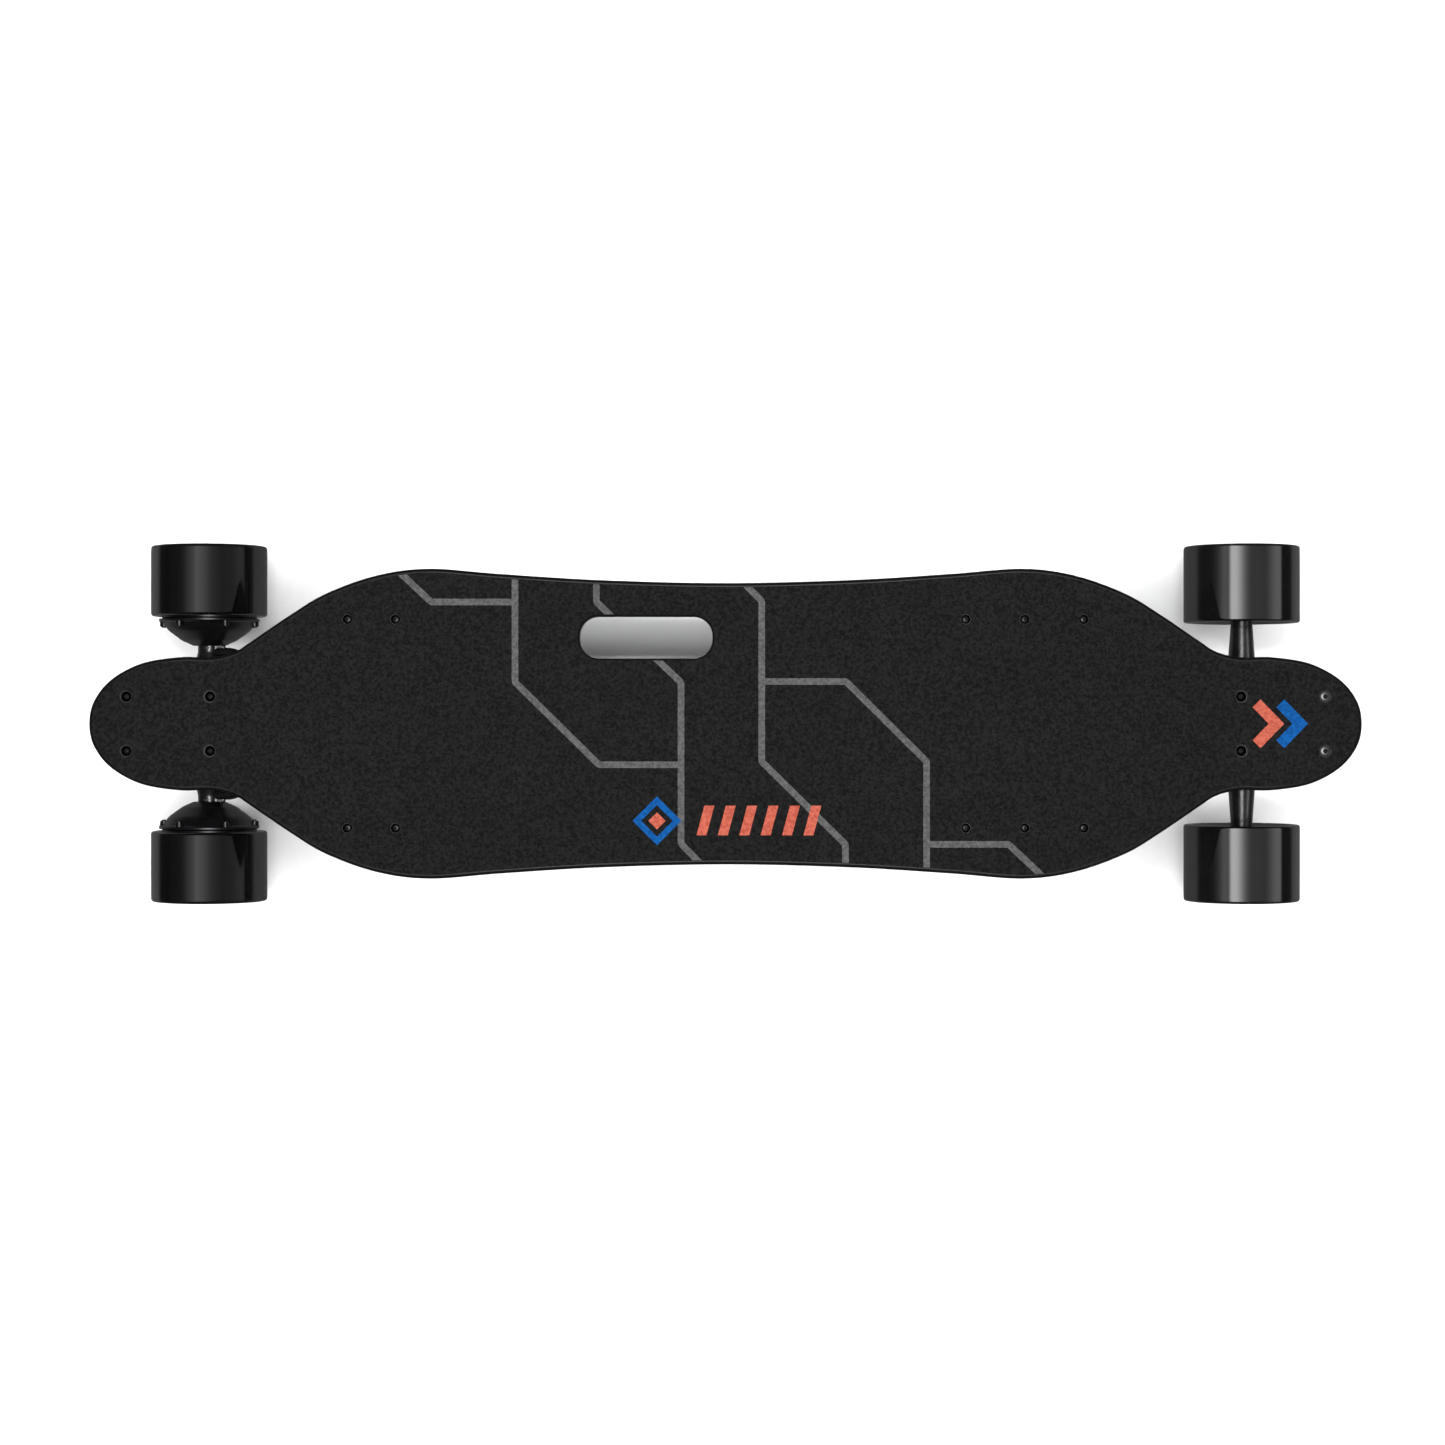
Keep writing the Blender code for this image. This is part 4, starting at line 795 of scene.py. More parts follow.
def make_baseplate(truck):
    plate = slab(rectangle(*BASE_HALF, BASE_CORNER, steps=8), -BASE_SLAB, 0, 1.4, truck.frame, 4)
    foot = rectangle(5.2, TOWER_RADIUS, 3.0, (-34.2, 0))
    tower = [at(truck.frame, x, y, -0.5 * BASE_SLAB) for x, y in foot]
    upward = truck.steer_frame.to_3x3().inverted() @ -truck.pin_axis
    for depth, size in ((TOWER_FACE + 2.0, 0.98), (TOWER_FACE + TOWER_DEPTH - GAP, 0.69)):
        for x, y in circle(TOWER_RADIUS * size, 32):
            if Vector((x, y, 0)).dot(upward) > 0.3 * TOWER_RADIUS:
                tower.append(at(truck.steer_frame, x, y, depth))
    housing = filleted([
        (0, TOWER_FACE), (TOWER_RADIUS, TOWER_FACE, 1.2),
        (TOWER_RADIUS, TOWER_FACE + 0.6 * TOWER_DEPTH, 2.0),
        (0.7 * TOWER_RADIUS, TOWER_FACE + TOWER_DEPTH, 2.0), (0, TOWER_FACE + TOWER_DEPTH)])
    boss = [at(truck.pin_frame, x, y, KINGPIN_SEAT) for x, y in circle(14.5, 32)]
    boss += [at(truck.frame, x, y, -0.5 * BASE_SLAB) for x, y in rectangle(14.0, 17.5, 6.0, (-1.5, 0))]
    ribs = []
    for side in (1, -1):
        rib = [at(truck.frame, x, side * y, z) for y in (15.0, 18.0) for x, z in (
            (-33.0, -3.0), (-33.0, -9.0), (10.0, -3.0), (0.0, -9.0))]
        ribs.append(hull(rib))
    cuts = [
        lathe(rod(CUP_RADIUS + 0.15, TOWER_FACE - 20, TOWER_FACE + CUP_DEPTH + GAP), truck.steer_frame, 48),
        lathe(rod(KINGPIN_BORE, KINGPIN_HEAD[0] - 10, KINGPIN_SEAT + 10), truck.pin_frame, 40),
        disc(9.1, KINGPIN_HEAD[0] - 20, KINGPIN_HEAD[1] + GAP, truck.pin_frame, 6),
        disc(15.2, KINGPIN_SEAT, KINGPIN_SEAT + 6, truck.pin_frame, 40),
        bolt_holes(truck.frame, -12, 3),
        prism(rectangle(60, 60, 5), 0.0, 3.0, truck.frame),
    ]
    casting(truck.name("baseplate"), [
        plate, hull(tower), lathe(housing, truck.steer_frame, 48), hull(boss), *ribs],
        "truck", "board", cuts)


def make_kingpin(truck):
    place = truck.pin_frame
    profile = [(0, KINGPIN_HEAD[1] - 1), (KINGPIN_RADIUS, KINGPIN_HEAD[1] - 1), (KINGPIN_RADIUS, 17.0)]
    profile += threaded(KINGPIN_RADIUS, 17.0, KINGPIN_END - 1.0)
    profile += [(KINGPIN_RADIUS - 0.9, KINGPIN_END), (0, KINGPIN_END)]
    pin = piece(truck.name("kingpin"), lathe(profile, place, 40), "steel", "board")
    cut(pin, disc(8.3, *KINGPIN_HEAD, place, 6), "UNION")


def make_kingpin_stack(truck):
    """Washers, bushings and nut along the kingpin, on both sides of the hanger's ring."""
    place = truck.pin_frame
    low = KINGPIN_SEAT + GAP
    seat = low + WASHER + 0.1
    top = RING_HALF + GAP + 11.0
    wide = BUSHING_RADIUS

    def turned(part, profile, mat, body="board"):
        return piece(truck.name(part), lathe(filleted(profile), place, 64), mat, body)

    turned("boardside_washer", [
        (KINGPIN_BORE, low), (wide + 0.6, low, 0.4), (wide + 0.6, low + 3.0, 0.3),
        (wide - 0.2, low + 3.0, 0.3), (wide - 0.2, low + WASHER, 0.3), (KINGPIN_BORE, low + WASHER)],
        "steel")
    barrel = turned("boardside_bushing", [
        (KINGPIN_BORE, seat), (wide - 0.7, seat, 0.8), (wide + 0.2, -9.6, 3.0),
        (wide - 0.7, -RING_HALF - 0.1, 0.8), (KINGPIN_BORE, -RING_HALF - 0.1)], "bushing", None)
    truck.pin_point(seat)
    truck.pin_point(-RING_HALF)
    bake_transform(barrel)
    cone = turned("roadside_bushing", [
        (KINGPIN_BORE, RING_HALF + 0.1), (wide - 0.3, RING_HALF + 0.1, 0.9),
        (wide - 0.5, RING_HALF + 3.2, 1.2), (CONE_RADIUS, top, 0.8), (KINGPIN_BORE, top)], "bushing", None)
    truck.pin_point(top)
    truck.pin_point(RING_HALF)
    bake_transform(cone)
    turned("roadside_washer", [
        (KINGPIN_BORE, top + 0.1), (CONE_RADIUS, top + 0.1, 0.2), (CONE_RADIUS + 0.2, top - 1.6, 0.2),
        (CONE_RADIUS + 1.2, top - 1.6, 0.3), (CONE_RADIUS + 1.2, top + 1.7, 0.4),
        (KINGPIN_BORE, top + 1.7)], "steel")
    nut = top + GAP + WASHER + GAP
    hex_nut(truck.name("kingpin_nut"), place, 8.3, KINGPIN_BORE, nut, nut + 8.0, "board")


def make_pivot_cup(truck):
    mouth, end, bore = TOWER_FACE + GAP, TOWER_FACE + GAP + CUP_DEPTH, PIVOT_RADIUS + 0.4
    profile = filleted([
        (0, end), (CUP_RADIUS, end, 0.8), (CUP_RADIUS, mouth, 0.6), (bore, mouth, 0.8),
        (bore, end - 1.2, 0.8), (0, end - 1.2)])
    piece(truck.name("pivot_cup"), lathe(profile, truck.steer_frame, 56), "bushing", "board")


def make_hanger(truck, beam_end, tip, axle_radius):
    """Ring, web, beam and pivot nose in one casting, bored for the axle and the kingpin."""
    taper = min(77.0, beam_end - 6.0)
    beam = spindle([(BEAM_RADIUS, 49.5), (tip, taper), (tip, beam_end)], beam_end)
    ring = filleted([(0, -RING_HALF), (RING_RADIUS, -RING_HALF, 1.2), (RING_RADIUS, RING_HALF, 1.2),
                     (0, RING_HALF)])
    web = []
    for y in (13.0, -13.0):
        for height in (RING_HALF - GAP, GAP - RING_HALF):
            web.append(truck.ring + Vector((0, y, 0)) * MM + truck.pin_axis * height * MM
                       - truck.up_axis * 14.0 * MM)
    for y in (33.0, -33.0):
        web += [at(truck.axle_frame, x, z, y) for x, z in circle(BEAM_RADIUS - 1.0, 32)]
    nose = filleted([
        (0, 38.0), (8.6, 38.0), (8.0, 50.0, 2.5), (PIVOT_RADIUS, TOWER_FACE - 2.0, 2.0),
        (PIVOT_RADIUS, TOWER_FACE + 7.8, 3.0), (0, TOWER_FACE + 7.8)])
    parts = [
        lathe(beam, truck.axle_frame, 64), lathe(ring, truck.pin_frame, 64), hull(web),
        lathe(nose, truck.steer_frame, 48)]
    if truck.end == "rear":
        for side in (1, -1):
            centre = truck.axle_frame.to_translation() + Vector((8.6, side * 58.4, 2.2)) * MM
            parts.append(prism(rectangle(4.4, 3.2, 2.4), -5.0, 4.6, Matrix.Translation(centre)))
    cuts = [
        lathe(rod(RING_HOLE, -10, 10), truck.pin_frame, 48),
        lathe(rod(axle_radius, -beam_end - 9, beam_end + 9), truck.axle_frame, 40),
    ]
    casting(truck.name("hanger"), parts, "truck", truck.body, cuts)


def make_motor_set_screws(truck):
    """The small bright screws on top of the rear hanger's ends, which lock the motors' axles."""
    for hand, side in (("left", 1), ("right", -1)):
        top = truck.axle_frame.to_translation() + Vector((-1.0, side * 59.4, 8.3)) * MM
        screw(f"motor_set_screw_{hand}", Matrix.Translation(top), 2.0, 1.4, 4.0, "bright", truck.body,
              0.8, 1.2)


def make_axle(truck, radius, end, thread):
    half = [(radius, end - thread)] + threaded(radius, end - thread, end - 0.8) + [(radius - 0.8, end)]
    piece(truck.name("axle"), lathe(spindle(half, end), truck.axle_frame, 40), "steel", truck.body)


def make_bolts():
    """Eight truck bolts with their nuts, and ten housing screws."""
    top = DECK_HIGH / MM
    for index, (x, y) in enumerate(truck_bolts(), 1):
        place = shift(x, y, top - 3.5)
        mat, head, well, dome = ("bright", 3.5, 2.0, 0.22) if index < 3 else ("dark_steel", 3.9, 1.6, 0.7)
        screw(f"truck_bolt_{index}", place, head, 2.5, 25.0, mat, "board", well, 2.8, dome=dome)
        hex_nut(f"truck_bolt_nut_{index}", shift(x, y), 4.4, 2.5, 96.6, 100.9, "board")
    for index, (x, y) in enumerate(housing_screws(), 1):
        place = shift(x, y, top - 2.2)
        screw(f"housing_screw_{index}", place, 3.3, 1.9, 15.5, "dark_steel", "board", 1.25, 1.9, dome=0.5)


# ==== wheels ====
def bearing(name, place, inner, outer, start, width, body):
    """Two steel races with recessed shields between them."""
    end = start + width
    race = 0.2 * (outer - inner)
    rings = bmesh.new()
    for low, high in ((inner, inner + race), (outer - race, outer)):
        lathe(filleted([(low, start, 0.3), (high, start, 0.3), (high, end, 0.3), (low, end, 0.3)]), place,
              64, rings)
    piece(name, rings, "steel", body)
    low, high = inner + race, outer - race
    shield = filleted([
        (low, start + 0.5), (high, start + 0.5), (high, end - 0.5), (low + 0.3, end - 0.5, 0.3),
        (low, end - 0.9)])
    piece(f"{name}_shield", lathe(shield, place, 64), "shield", body)


FRONT_WHEEL = (79.0, 139.0)      # distances of its faces from the board's middle plane
REAR_WHEEL = (84.0, 139.0)
COVER_SCREWS = 35.6              # radius of the circle that the motor cover's screws stand on


def wheel_frame(truck, side):
    """Z runs outwards along the axle from the board's middle plane."""
    return axis_frame(truck.axle_frame.to_translation(), (0, side, 0))


def make_front_wheel(truck, side, hand):
    place = wheel_frame(truck, side)
    prefix = f"front_{hand}"
    body = f"{prefix}_wheel"
    low, high = FRONT_WHEEL
    tyre = filleted([
        (26.0, low + 7.4, 0.6), (33.5, low + 4.4, 3.0), (40.2, low, 1.8), (45.0, low, 4.0),
        (45.0, high, 4.0), (40.2, high, 1.8), (33.5, high - 4.4, 3.0), (26.0, high - 7.4, 0.6)], steps=8)
    piece(f"{prefix}_tyre", lathe(tyre, place, 160), "tyre", body)
    middle = 0.5 * (low + high)
    core = filleted([
        (11.25, 94.0), (14.4, 94.0, 0.6), (15.6, middle - 5.0, 1.5), (22.2, middle - 5.0, 1.5),
        (22.2, low + 9.0, 0.8), (25.9, low + 9.0, 0.4), (25.9, high - 9.0, 0.4), (22.2, high - 9.0, 0.8),
        (22.2, middle + 5.0, 1.5), (15.6, middle + 5.0, 1.5), (14.4, 124.0, 0.6), (11.25, 124.0),
        (11.25, 115.2), (8.8, 115.2), (8.8, 102.8), (11.25, 102.8)])
    hub = piece(f"{prefix}_core", lathe(core, place, 96), "core", body)
    windows = bmesh.new()
    for centre in circle(18.9, 8, phase=math.pi / 8):
        disc(2.4, 90, 128, place, 24, centre, windows)
    cut(hub, windows)
    ribs = bmesh.new()
    for index in range(8):
        turned = place @ Matrix.Rotation(2 * math.pi * index / 8, 4, "Z")
        outline = [(middle - 18.5, 14.0), (middle + 18.5, 14.0), (middle + 18.5, 17.5),
                   (middle + 15.5, 22.6), (middle - 15.5, 22.6), (middle - 18.5, 17.5)]
        upright = turned @ Matrix(((0, 1, 0, 0), (0, 0, 1, 0), (1, 0, 0, 0), (0, 0, 0, 1)))
        prism(outline, -1.1, 1.1, upright, ribs)
    piece(f"{prefix}_core_ribs", ribs, "core", body)
    for label, start in (("inner", 95.5), ("outer", 115.5)):
        bearing(f"{prefix}_{label}_bearing", place, 4.1, 11.0, start, 7.0, body)
    hex_nut(f"{prefix}_axle_nut", place, 7.5, 4.05, 122.8, 129.0, truck.body)


def make_rear_wheel(truck, side, hand):
    place = wheel_frame(truck, side)
    prefix = f"rear_{hand}"
    body = f"{prefix}_wheel"
    low, high = REAR_WHEEL
    inside = 36.9                # radius of the sleeve's seat on the rotor can
    sleeve = filleted([
        (inside, low + 1.6), (39.5, low, 1.0), (45.0, low, 4.0), (45.0, high, 4.0), (39.5, high, 1.0),
        (inside, high - 1.6)], steps=8)
    piece(f"{prefix}_tyre", lathe(sleeve, place, 160), "tyre", body)
    can = filleted([
        (32.2, 82.7), (36.6, 82.7, 0.4), (36.6, 137.4, 0.8), (34.0, 137.9, 0.8), (32.9, 131.4, 1.5),
        (17.2, 131.0, 1.5), (16.2, 132.8, 0.6), (10.6, 132.8, 0.4), (10.6, 130.6), (13.3, 130.6),
        (13.3, 122.0), (16.5, 122.0), (16.5, 126.2), (32.2, 126.2)], steps=6)
    shell = piece(f"{prefix}_rotor_can", lathe(can, place, 128), "motor", body)
    pockets = bmesh.new()
    for index in range(12):
        middle = 2 * math.pi * (index + 0.5) / 12
        outline = [(radius * math.cos(middle + turn), radius * math.sin(middle + turn))
                   for radius, turn in ((19.5, -0.13), (30.5, -0.17), (30.5, 0.17), (19.5, 0.13))]
        prism(outline, 130.0, 134.0, place, pockets)
    cut(shell, pockets)
    for index, (x, y) in enumerate(circle(25.0, 6), 1):
        screw(f"{prefix}_can_screw_{index}", place @ shift(x, y, 131.1), 2.3, 1.4, 4.0, "dark_steel", body,
              1.0, 1.6)
    cover = filleted([
        (36.2, 82.4), (38.8, 82.0, 0.5), (38.8, 80.0, 0.8), (35.4, 79.0, 0.6), (31.8, 73.0, 14.0),
        (21.0, 65.0, 14.0), (12.6, 61.2, 1.0), (10.6, 61.2), (10.6, 62.6), (13.3, 62.6), (13.3, 71.2),
        (20.0, 72.0), (31.0, 79.0), (32.2, 82.4)], steps=10)
    dome = piece(f"{prefix}_rotor_cover", lathe(cover, place, 128), "motor", body)
    bosses = bmesh.new()
    spots = circle(COVER_SCREWS, 6, phase=math.pi / 6)
    for spot in spots:
        disc(3.1, 76.4, 81.5, place, 24, spot, bosses)
    cut(dome, bosses, "UNION")
    for index, (x, y) in enumerate(spots, 1):
        turned = place @ shift(x, y, 76.4) @ Matrix.Rotation(math.pi, 4, "X")
        screw(f"{prefix}_cover_screw_{index}", turned, 2.1, 1.3, 4.0, "dark_steel", body, 1.0, 1.4)
    for label, start in (("inner", 62.9), ("outer", 122.3)):
        bearing(f"{prefix}_{label}_bearing", place, 5.1, 13.0, start, 8.0, body)
    hex_nut(f"{prefix}_axle_nut", place, 9.5, 5.05, 130.9, 136.7, truck.body)


# ==== housings ====
FLANGE_THICKNESS = 4.0
FLANGE_HALF = 88.0
FLANGE_CORNER = 30.0
FLANGE_END = 5.0
WALL_HALF = 73.0
WALL = 3.0
LOWER_EDGE = 5.0                 # rounding of the tubs' lower edges
PORT_X = 170.0                   # the charge port
PORT_Z = 95.0                    # the charge port and the power button
GLAND_Z = 97.0


def make_housing(name, centre, half_length, depth, ribs, screws):
    """A moulded tub: rounded flange, walls with a soft lower edge, and ribs underneath."""
    top = HOUSING_TOP / MM
    bottom = top - depth
    wall_x = half_length - FLANGE_END
    seat = top - FLANGE_THICKNESS

    def ring(half_x, half_y, radius, height):
        return rectangle(half_x, half_y, radius, (centre, 0), 10), height

    cavity = (wall_x - WALL, WALL_HALF - WALL, 8.0)
    levels = [
        ring(*cavity, bottom + WALL), ring(*cavity, top),
        ring(half_length - 0.4, FLANGE_HALF - 0.4, FLANGE_CORNER, top),
        ring(half_length, FLANGE_HALF, FLANGE_CORNER, top - 0.4),
        ring(half_length, FLANGE_HALF, FLANGE_CORNER, seat + 1.0),
        ring(half_length - 1.0, FLANGE_HALF - 1.0, FLANGE_CORNER - 1.0, seat),
        ring(wall_x + 1.2, WALL_HALF + 1.2, 12.2, seat),
        ring(wall_x + 0.2, WALL_HALF + 0.2, 11.2, seat - 0.7),
        ring(wall_x, WALL_HALF, 11.0, seat - 1.6)]
    for angle in quarter(6):
        drop = LOWER_EDGE * (1 - math.cos(angle))
        height = bottom + LOWER_EDGE * (1 - math.sin(angle))
        levels.append(ring(wall_x - drop, WALL_HALF - drop, 11.0, height))
    made = piece(name, stack(levels), "housing", "board")
    for index in range(ribs):
        y = (index - (ribs - 1) / 2) * 2 * (WALL_HALF - 22) / (ribs - 1)
        rib = rectangle(wall_x - 16, 2.6, 2.5, (centre, y), 6)
        levels = [(inset(rib, 1.2), bottom - 0.9), (inset(rib, 0.4), bottom - 0.6), (rib, bottom + 0.6)]
        cut(made, stack(levels), "UNION")
    for x in screws:
        for y in (SCREW_Y, -SCREW_Y):
            boss = filleted([(0, seat - 2.4), (4.3, seat - 2.4, 0.8), (5.0, seat + 0.5), (0, seat + 0.5)])
            cut(made, lathe(boss, shift(centre + x, y), 32), "UNION")
    return made


def gland(name, centre, direction, cable):
    """A cable gland: a hexagon collar, a domed cap and the cable's hole."""
    place = axis_frame(Vector(centre) * MM, direction)
    profile = filleted([(cable + 0.1, -1.0), (6.0, -1.0), (6.0, 1.0, 0.3), (5.0, 1.4), (5.0, 3.2, 1.2),
                        (cable + 0.9, 5.0, 0.8), (cable + 0.1, 5.0, 0.3)])
    made = piece(name, lathe(profile, place, 48), "rubber", "board")
    cut(made, disc(6.4, 0.6, 2.6, place, 6), "UNION")
    cut(made, disc(cable + 0.1, -2, 4, place))


def side_place(x):
    """A frame on the housings' right-hand wall, with its Z into the housing."""
    return axis_frame((x * MM, -WALL_HALF * MM, PORT_Z * MM), (0, 1, 0))


def make_housings():
    battery = make_housing("battery_case", BATTERY_X, 108.0, 28.0, 7, BATTERY_SCREWS)
    cut(battery, disc(6.3, -5, 6, side_place(PORT_X), 40))
    controller = make_housing("controller_case", ESC_X, 62.0, 26.0, 9, ESC_SCREWS)
    cut(controller, disc(6.6, -5, 6, side_place(ESC_X), 48))
    gland("battery_gland", (BATTERY_X - 103.0, 0, GLAND_Z), (-1, 0, 0), 4.0)
    gland("controller_gland_front", (ESC_X + 57.0, 0, GLAND_Z), (1, 0, 0), 4.0)
    for hand, side in (("left", 1), ("right", -1)):
        gland(f"controller_gland_{hand}", (ESC_X - 57.0, side * 24.0, GLAND_Z), (-1, 0, 0), 3.2)


def make_power_button():
    place = side_place(ESC_X)
    profile = filleted([
        (0, -1.2), (3.4, -1.3), (5.0, -1.8, 0.6), (6.2, -1.8, 0.7), (6.2, 3.3), (7.6, 3.3), (7.6, 4.6),
        (0, 4.6)])
    piece("power_button", lathe(profile, place, 64), "alloy", "power_button")
    lens = filleted([(6.65, -0.35, 0.15), (7.5, -0.35, 0.15), (7.5, 0.4), (6.65, 0.4)])
    piece("power_button_light", lathe(lens, place, 64), "led", "board")


def tag_outline(radius, tail, hinge=9.5):
    """A disc with a narrower tail reaching the cap's hinge."""
    swing = math.acos((radius - tail) / hinge)
    head = [(math.pi - swing) * (2 * step / 40 - 1) for step in range(41)]
    foot = [math.pi - swing + 2 * swing * step / 12 for step in range(13)]
    return arc(radius, head) + arc(tail, foot, (-hinge, 0.0))


def make_charge_port():
    place = axis_frame((PORT_X * MM, -(WALL_HALF + GAP) * MM, PORT_Z * MM), (0, -1, 0), (1, 0, 0))
    port = piece("charge_port", slab(tag_outline(8.0, 3.2), 0, 1.1, 0.3, place), "dark_steel", "board")
    cut(port, disc(6.0, -7.5, 1.0, place, 40), "UNION")
    cut(port, disc(4.0, -6.0, 4.0, place, 40))
    pin = lathe(filleted([(0, -6.2), (1.1, -6.2), (1.1, -0.8, 0.5), (0, -0.8)]), place, 24)
    piece("charge_port_pin", pin, "bright", "board")
    cap = piece("charge_port_cap", slab(tag_outline(7.8, 1.2), 1.9, 3.7, 0.5, place), "rubber", "charge_cap")
    cut(cap, disc(2.8, -0.4, 2.5, place), "UNION")
    grip = [(6.2, -2.6), (8.6, -2.2), (8.6, 2.2), (6.2, 2.6)]
    cut(cap, prism(grip, 2.4, 3.5, place), "UNION")


# ==== cables ====
MOTOR_CABLE_RADIUS = 0.0032
LINK_CABLE_RADIUS = 0.0040
MOTOR_CABLE_ROUTE = [
    (-0.3309, 0.0240, 0.0970), (-0.3380, 0.0244, 0.0968), (-0.3460, 0.0272, 0.0950),
    (-0.3550, 0.0345, 0.0895), (-0.3650, 0.0440, 0.0805), (-0.3750, 0.0520, 0.0710),
    (-0.3840, 0.0556, 0.0628), (-0.3920, 0.0560, 0.0565), (-0.3972, 0.0560, 0.0525)]
LINK_CABLE_ROUTE = [
    (-0.2058, 0.0, 0.0970), (-0.1960, 0.0, 0.0972), (-0.1780, 0.0, 0.0990), (-0.1480, 0.0, 0.1035),
    (-0.1150, 0.0, 0.1055), (-0.0430, 0.0, 0.1058), (0.0250, 0.0, 0.1055), (0.0600, 0.0, 0.1035),
    (0.0900, 0.0, 0.0990), (0.1080, 0.0, 0.0972), (0.1182, 0.0, 0.0970)]
CABLE_STEPS = 6
CLIP_PLACE = (-0.0430, 0.0, 0.1058)


def make_cables():
    for hand, side in (("left", 1), ("right", -1)):
        route = smooth_points([(x, side * y, z) for x, y, z in MOTOR_CABLE_ROUTE], CABLE_STEPS)
        name = f"{hand}_motor_cable"
        cable = piece(name, pipe(route, MOTOR_CABLE_RADIUS, 24), "sheath", None)
        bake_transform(cable)
    route = smooth_points(LINK_CABLE_ROUTE, CABLE_STEPS)
    cable = piece("battery_cable", pipe(route, LINK_CABLE_RADIUS, 24), "sheath", "board")


def make_cable_clip():
    """A band under the battery cable with a foot on each side, screwed to the deck."""
    place = axis_frame(CLIP_PLACE, (1, 0, 0), (0, 1, 0))
    inner, outer, foot = 4.2, 5.8, 11.0
    top = DECK_LOW / MM - 0.1 - CLIP_PLACE[2] / MM
    turns = [math.radians(-180 * step / 24) for step in range(25)]
    side = [(inner, top), (foot, top), (foot, top - 1.5), (outer, top - 1.5)]
    outline = side + arc(outer, turns) + [(-y, z) for y, z in reversed(side)] + arc(inner, turns[::-1])
    piece("cable_clip", prism(outline, -4.0, 4.0, place), "steel", "board")
    for side_name, y in (("left", 8.6), ("right", -8.6)):
        under = axis_frame((CLIP_PLACE[0], y * MM, (DECK_LOW / MM - 1.6) * MM), (0, 0, -1))
        screw(f"cable_clip_screw_{side_name}", under, 2.0, 1.2, 6.0, "dark_steel", "board", 0.9, 1.2)


# ==== inner parts that keep their CAD shape ====
def paint_inner_parts():
    paints = {"battery_pack": "wrap", "battery_management_board": "circuit",
              "controller_board": "circuit", "rear_left_stator": "copper", "rear_right_stator": "copper"}
    for name, mat in paints.items():
        mesh = frame["nodes"][name].data
        mesh.materials.clear()
        mesh.materials.append(MAT[mat])


# ==== stage ====
CAMERA_PLACE = (-0.0023, 0.00095, 2.3246)
LENS = 72.4
SENSOR = 36.0
BACKDROP = 0.92                  # what the camera sees behind the floor's edge
# the studio's light against height: 0 is straight down, 0.5 the horizon and 1 straight up
SKY = [(0.0, 0.15), (0.07, 0.2), (0.21, 0.38), (0.32, 0.42), (0.38, 0.12), (0.42, 0.05), (0.60, 0.04),
       (0.70, 0.10), (1.0, 0.10)]
SOFTBOX_DISTANCE = 2.2
SOFTBOX_LENGTH = 1.6
WHEEL_TOP = 0.09                 # the softboxes aim here
KEY_RADIANCE = 17.6
KEY_PLACE = (0.0, 0.0, 3.2)
KEY_SIZE = (1.2, 1.2)
FLOOR_HALF = 4.0
# floor lights: (place, width in x, width in y, radiance)
FLOOR_LIGHTS = [((0.0, 0.0, 3.0), 10.4, 1.5, 1.2)]
FLOOR_LIGHTS += [((0.0, y, 3.0), 10.4, 0.76, 4.8) for y in (1.13, -1.13)]
FLOOR_LIGHTS += [((x, 0.0, 3.0), 3.4, 1.5, 15.0) for x in (4.2, -4.2)]
FLOOR_LIGHTS += [((x, y, 1.2), 0.40, 0.04, 72.0) for x in (0.25, -0.25) for y in (0.33, -0.33)]
BEAM_LIGHT = [(24, 0.0), (36, 0.5), (44, 1.2), (49, 3.4), (55, 3.2), (60, 0.6), (70, 0.0)]
# radiance of the tyres' softboxes against the direction from the wheel, in degrees from straight up
TYRE_LIGHTS = {
    "front": [
        [(-72, 0.0), (-66, 0.05), (-63, 0.15), (-57, 0.35), (-51, 0.83), (-45, 1.4), (-39, 1.25),
         (-35.5, 1.2), (-33, 4.3), (-30.5, 8.2), (-27, 8.7), (-21, 8.4), (-15, 6.5), (-9, 3.9),
         (-3, 1.9), (3, 0.98), (9, 0.58), (15, 0.53), (21, 0.58), (27, 0.53), (33, 0.47)],
        [(33, 0.47), (39, 0.48), (45, 0.76), (51, 1.12), (57, 1.56), (63, 1.77), (69, 1.78), (73, 1.7),
         (75.5, 0.7), (77, 0.0)],
    ],
    "rear": [
        [(-60, 0.0), (-51, 0.04), (-45, 0.1), (-39, 0.25), (-33, 0.52), (-27, 0.74), (-21, 1.02),
         (-15, 1.65), (-9, 1.38), (-3, 1.19), (3, 0.89), (9, 0.62), (15, 0.42), (21, 0.31), (27, 0.25),
         (33, 0.17)],
        [(33, 0.17), (39, 0.145), (45, 0.18), (57, 0.21), (63, 0.28), (69, 0.35), (75, 0.45), (81, 0.39),
         (84, 0.3)],
    ],
}


def make_camera():
    data = bpy.data.cameras.new("camera")
    data.lens = LENS
    data.sensor_width = SENSOR
    data.clip_start = 0.01
    data.clip_end = 50.0
    camera = bpy.data.objects.new("camera", data)
    camera.location = CAMERA_PLACE
    bpy.context.scene.collection.objects.link(camera)
    bpy.context.scene.camera = camera


def collect(name, objects):
    """A collection that a light can be limited to."""
    made = bpy.data.collections.new(name)
    for each in objects:
        made.objects.link(each)
    return made


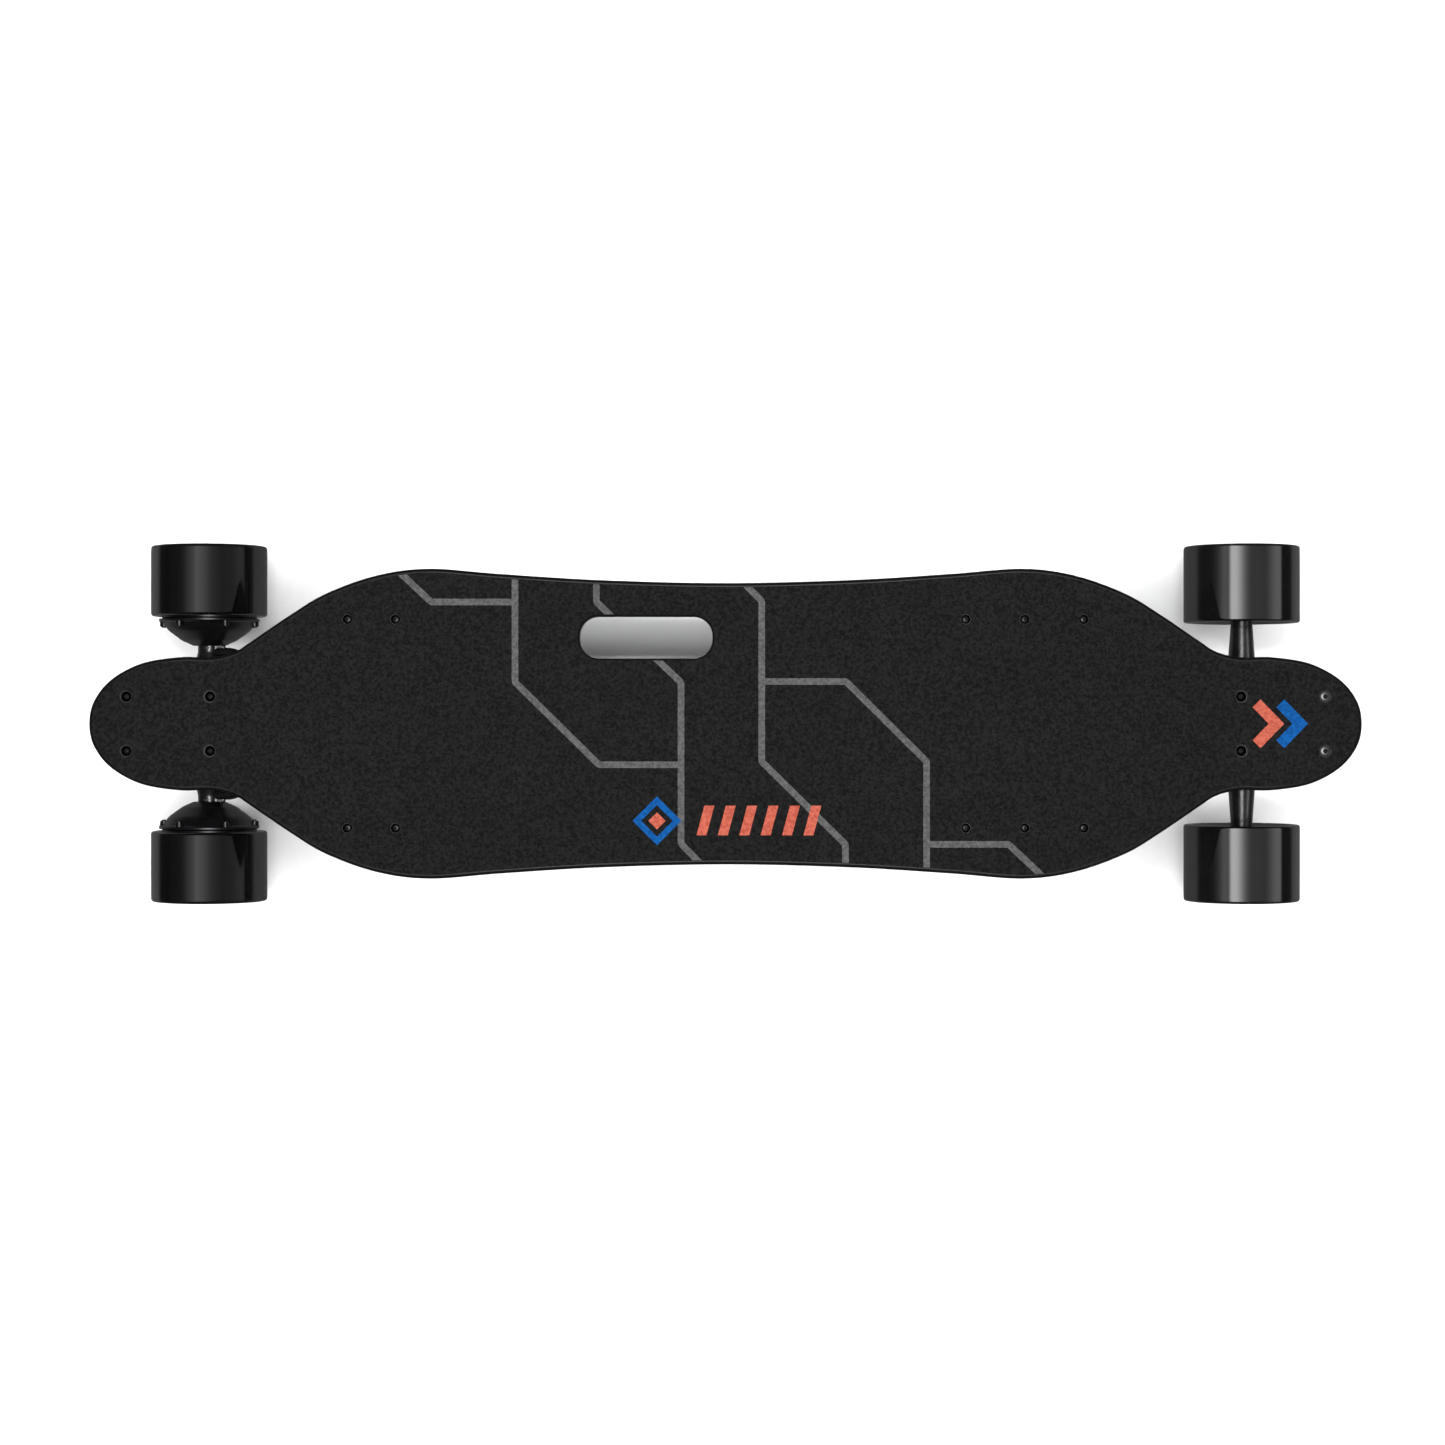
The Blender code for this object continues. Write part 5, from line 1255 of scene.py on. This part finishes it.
def softbox(name, place, target, size, radiance, receivers):
    """A rectangular light of a given radiance that faces a point and lights one collection."""
    data = bpy.data.lights.new(name, "AREA")
    data.shape = "RECTANGLE"
    data.size, data.size_y = size
    data.energy = radiance * size[0] * size[1] * math.pi
    made = bpy.data.objects.new(name, data)
    made.matrix_world = axis_frame(place, Vector(place) - Vector(target), (0, 1, 0)) @ Matrix.Rotation(
        -math.pi / 2, 4, "Z")
    bpy.context.scene.collection.objects.link(made)
    made.light_linking.receiver_collection = receivers
    return made


def graded_softbox(name, wheel_x, levels, receivers):
    """A softbox whose radiance changes across it: levels are (degrees from straight up, radiance)."""
    first, last = math.radians(levels[0][0]), math.radians(levels[-1][0])
    middle, half = 0.5 * (first + last), 0.5 * (last - first)
    aim = Vector((wheel_x, 0, WHEEL_TOP))
    place = aim + SOFTBOX_DISTANCE * Vector((math.sin(middle), 0, math.cos(middle)))
    width = 2 * SOFTBOX_DISTANCE * math.tan(half)
    brightest = max(level[1] for level in levels)
    made = softbox(name, place, aim, (width, SOFTBOX_LENGTH), brightest, receivers)
    made.data.use_nodes = True
    nodes = Nodes(made.data.node_tree)
    place_on = nodes.add("ShaderNodeNewGeometry").outputs["Parametric"]
    across = nodes.add("ShaderNodeSeparateXYZ", {0: place_on}).outputs["X"]
    grades = [(0.5 + math.tan(math.radians(angle) - middle) / (2 * math.tan(half)), radiance / brightest)
              for angle, radiance in levels]
    nodes.set(nodes.tree.nodes["Emission"].inputs["Color"], nodes.greys(across, grades))


def make_world():
    """Soft studio light from above, dim towards the horizon, behind a plain pale backdrop."""
    world = bpy.data.worlds.new("studio")
    world.use_nodes = True
    nodes = Nodes(world.node_tree)
    direction = nodes.add("ShaderNodeTexCoord").outputs["Generated"]
    height = nodes.add("ShaderNodeSeparateXYZ", {0: direction}).outputs["Z"]
    sky = nodes.greys(nodes.ramp(height, -1.0, 1.0), SKY)
    seen = nodes.add("ShaderNodeLightPath").outputs["Is Camera Ray"]
    nodes.set(nodes.tree.nodes["Background"].inputs["Color"], nodes.mix(seen, sky, tone(BACKDROP)))
    bpy.context.scene.world = world


def make_floor():
    bm = bmesh.new()
    bm.faces.new([bm.verts.new((x * FLOOR_HALF, y * FLOOR_HALF, 0.0))
                  for x, y in ((-1, -1), (1, -1), (1, 1), (-1, 1))])
    made = linked("floor", bm, surface("floor_paint", tone(0.86), tone(0.90), 2.0, 60.0, (0.8, 0.9),
                                       0.00001, specular=0.0))
    made.visible_glossy = False
    return made


def make_lights(floor):
    """Graded softboxes for the tyres and the hangers' beams, a key, and lights for the floor alone."""
    shown = [each for each in bpy.context.scene.objects if each.type == "MESH" and not each.hide_render]
    tyres = [each for each in shown if "_tyre" in each.name]
    rest = [each for each in shown if each != floor and each not in tyres]
    for end in ("front", "rear"):
        wheel_x = JOINTS[f"{end}_left_spin"]["pos_m"][0]
        receivers = collect(f"{end}_tyres", [each for each in tyres if each.name.startswith(end)])
        for index, levels in enumerate(TYRE_LIGHTS[end], 1):
            graded_softbox(f"{end}_softbox_{index}", wheel_x, levels, receivers)
        receivers = collect(f"{end}_beam", [each for each in rest if each.name.startswith(f"{end}_hanger")])
        graded_softbox(f"{end}_beam_softbox", wheel_x, BEAM_LIGHT, receivers)
    softbox("key", KEY_PLACE, (0, 0, 0), KEY_SIZE, KEY_RADIANCE, collect("board_parts", rest))
    under = collect("floor_only", [floor])
    for index, (place, width, depth, radiance) in enumerate(FLOOR_LIGHTS, 1):
        softbox(f"floor_light_{index}", place, (place[0], place[1], 0), (width, depth), radiance, under)


# ==== the whole scene ====
make_camera()
make_world()
make_cables()
make_cable_clip()
make_deck()
make_grip_tape()
make_print()
make_bolts()
front = Truck("front", 1)
rear = Truck("rear", -1)
for each in (front, rear):
    make_riser(each)
    make_baseplate(each)
    make_kingpin(each)
    make_kingpin_stack(each)
    make_pivot_cup(each)
make_hanger(front, beam_end=95.2, tip=8.5, axle_radius=4.1)
make_hanger(rear, beam_end=62.3, tip=8.75, axle_radius=5.1)
make_motor_set_screws(rear)
make_axle(front, radius=4.0, end=131.0, thread=13.0)
make_axle(rear, radius=5.0, end=137.6, thread=10.0)
for hand_name, hand_side in (("left", 1), ("right", -1)):
    make_front_wheel(front, hand_side, hand_name)
    make_rear_wheel(rear, hand_side, hand_name)
make_housings()
make_power_button()
make_charge_port()
paint_inner_parts()
make_lights(make_floor())

bpy.context.scene.view_settings.view_transform = "Standard"
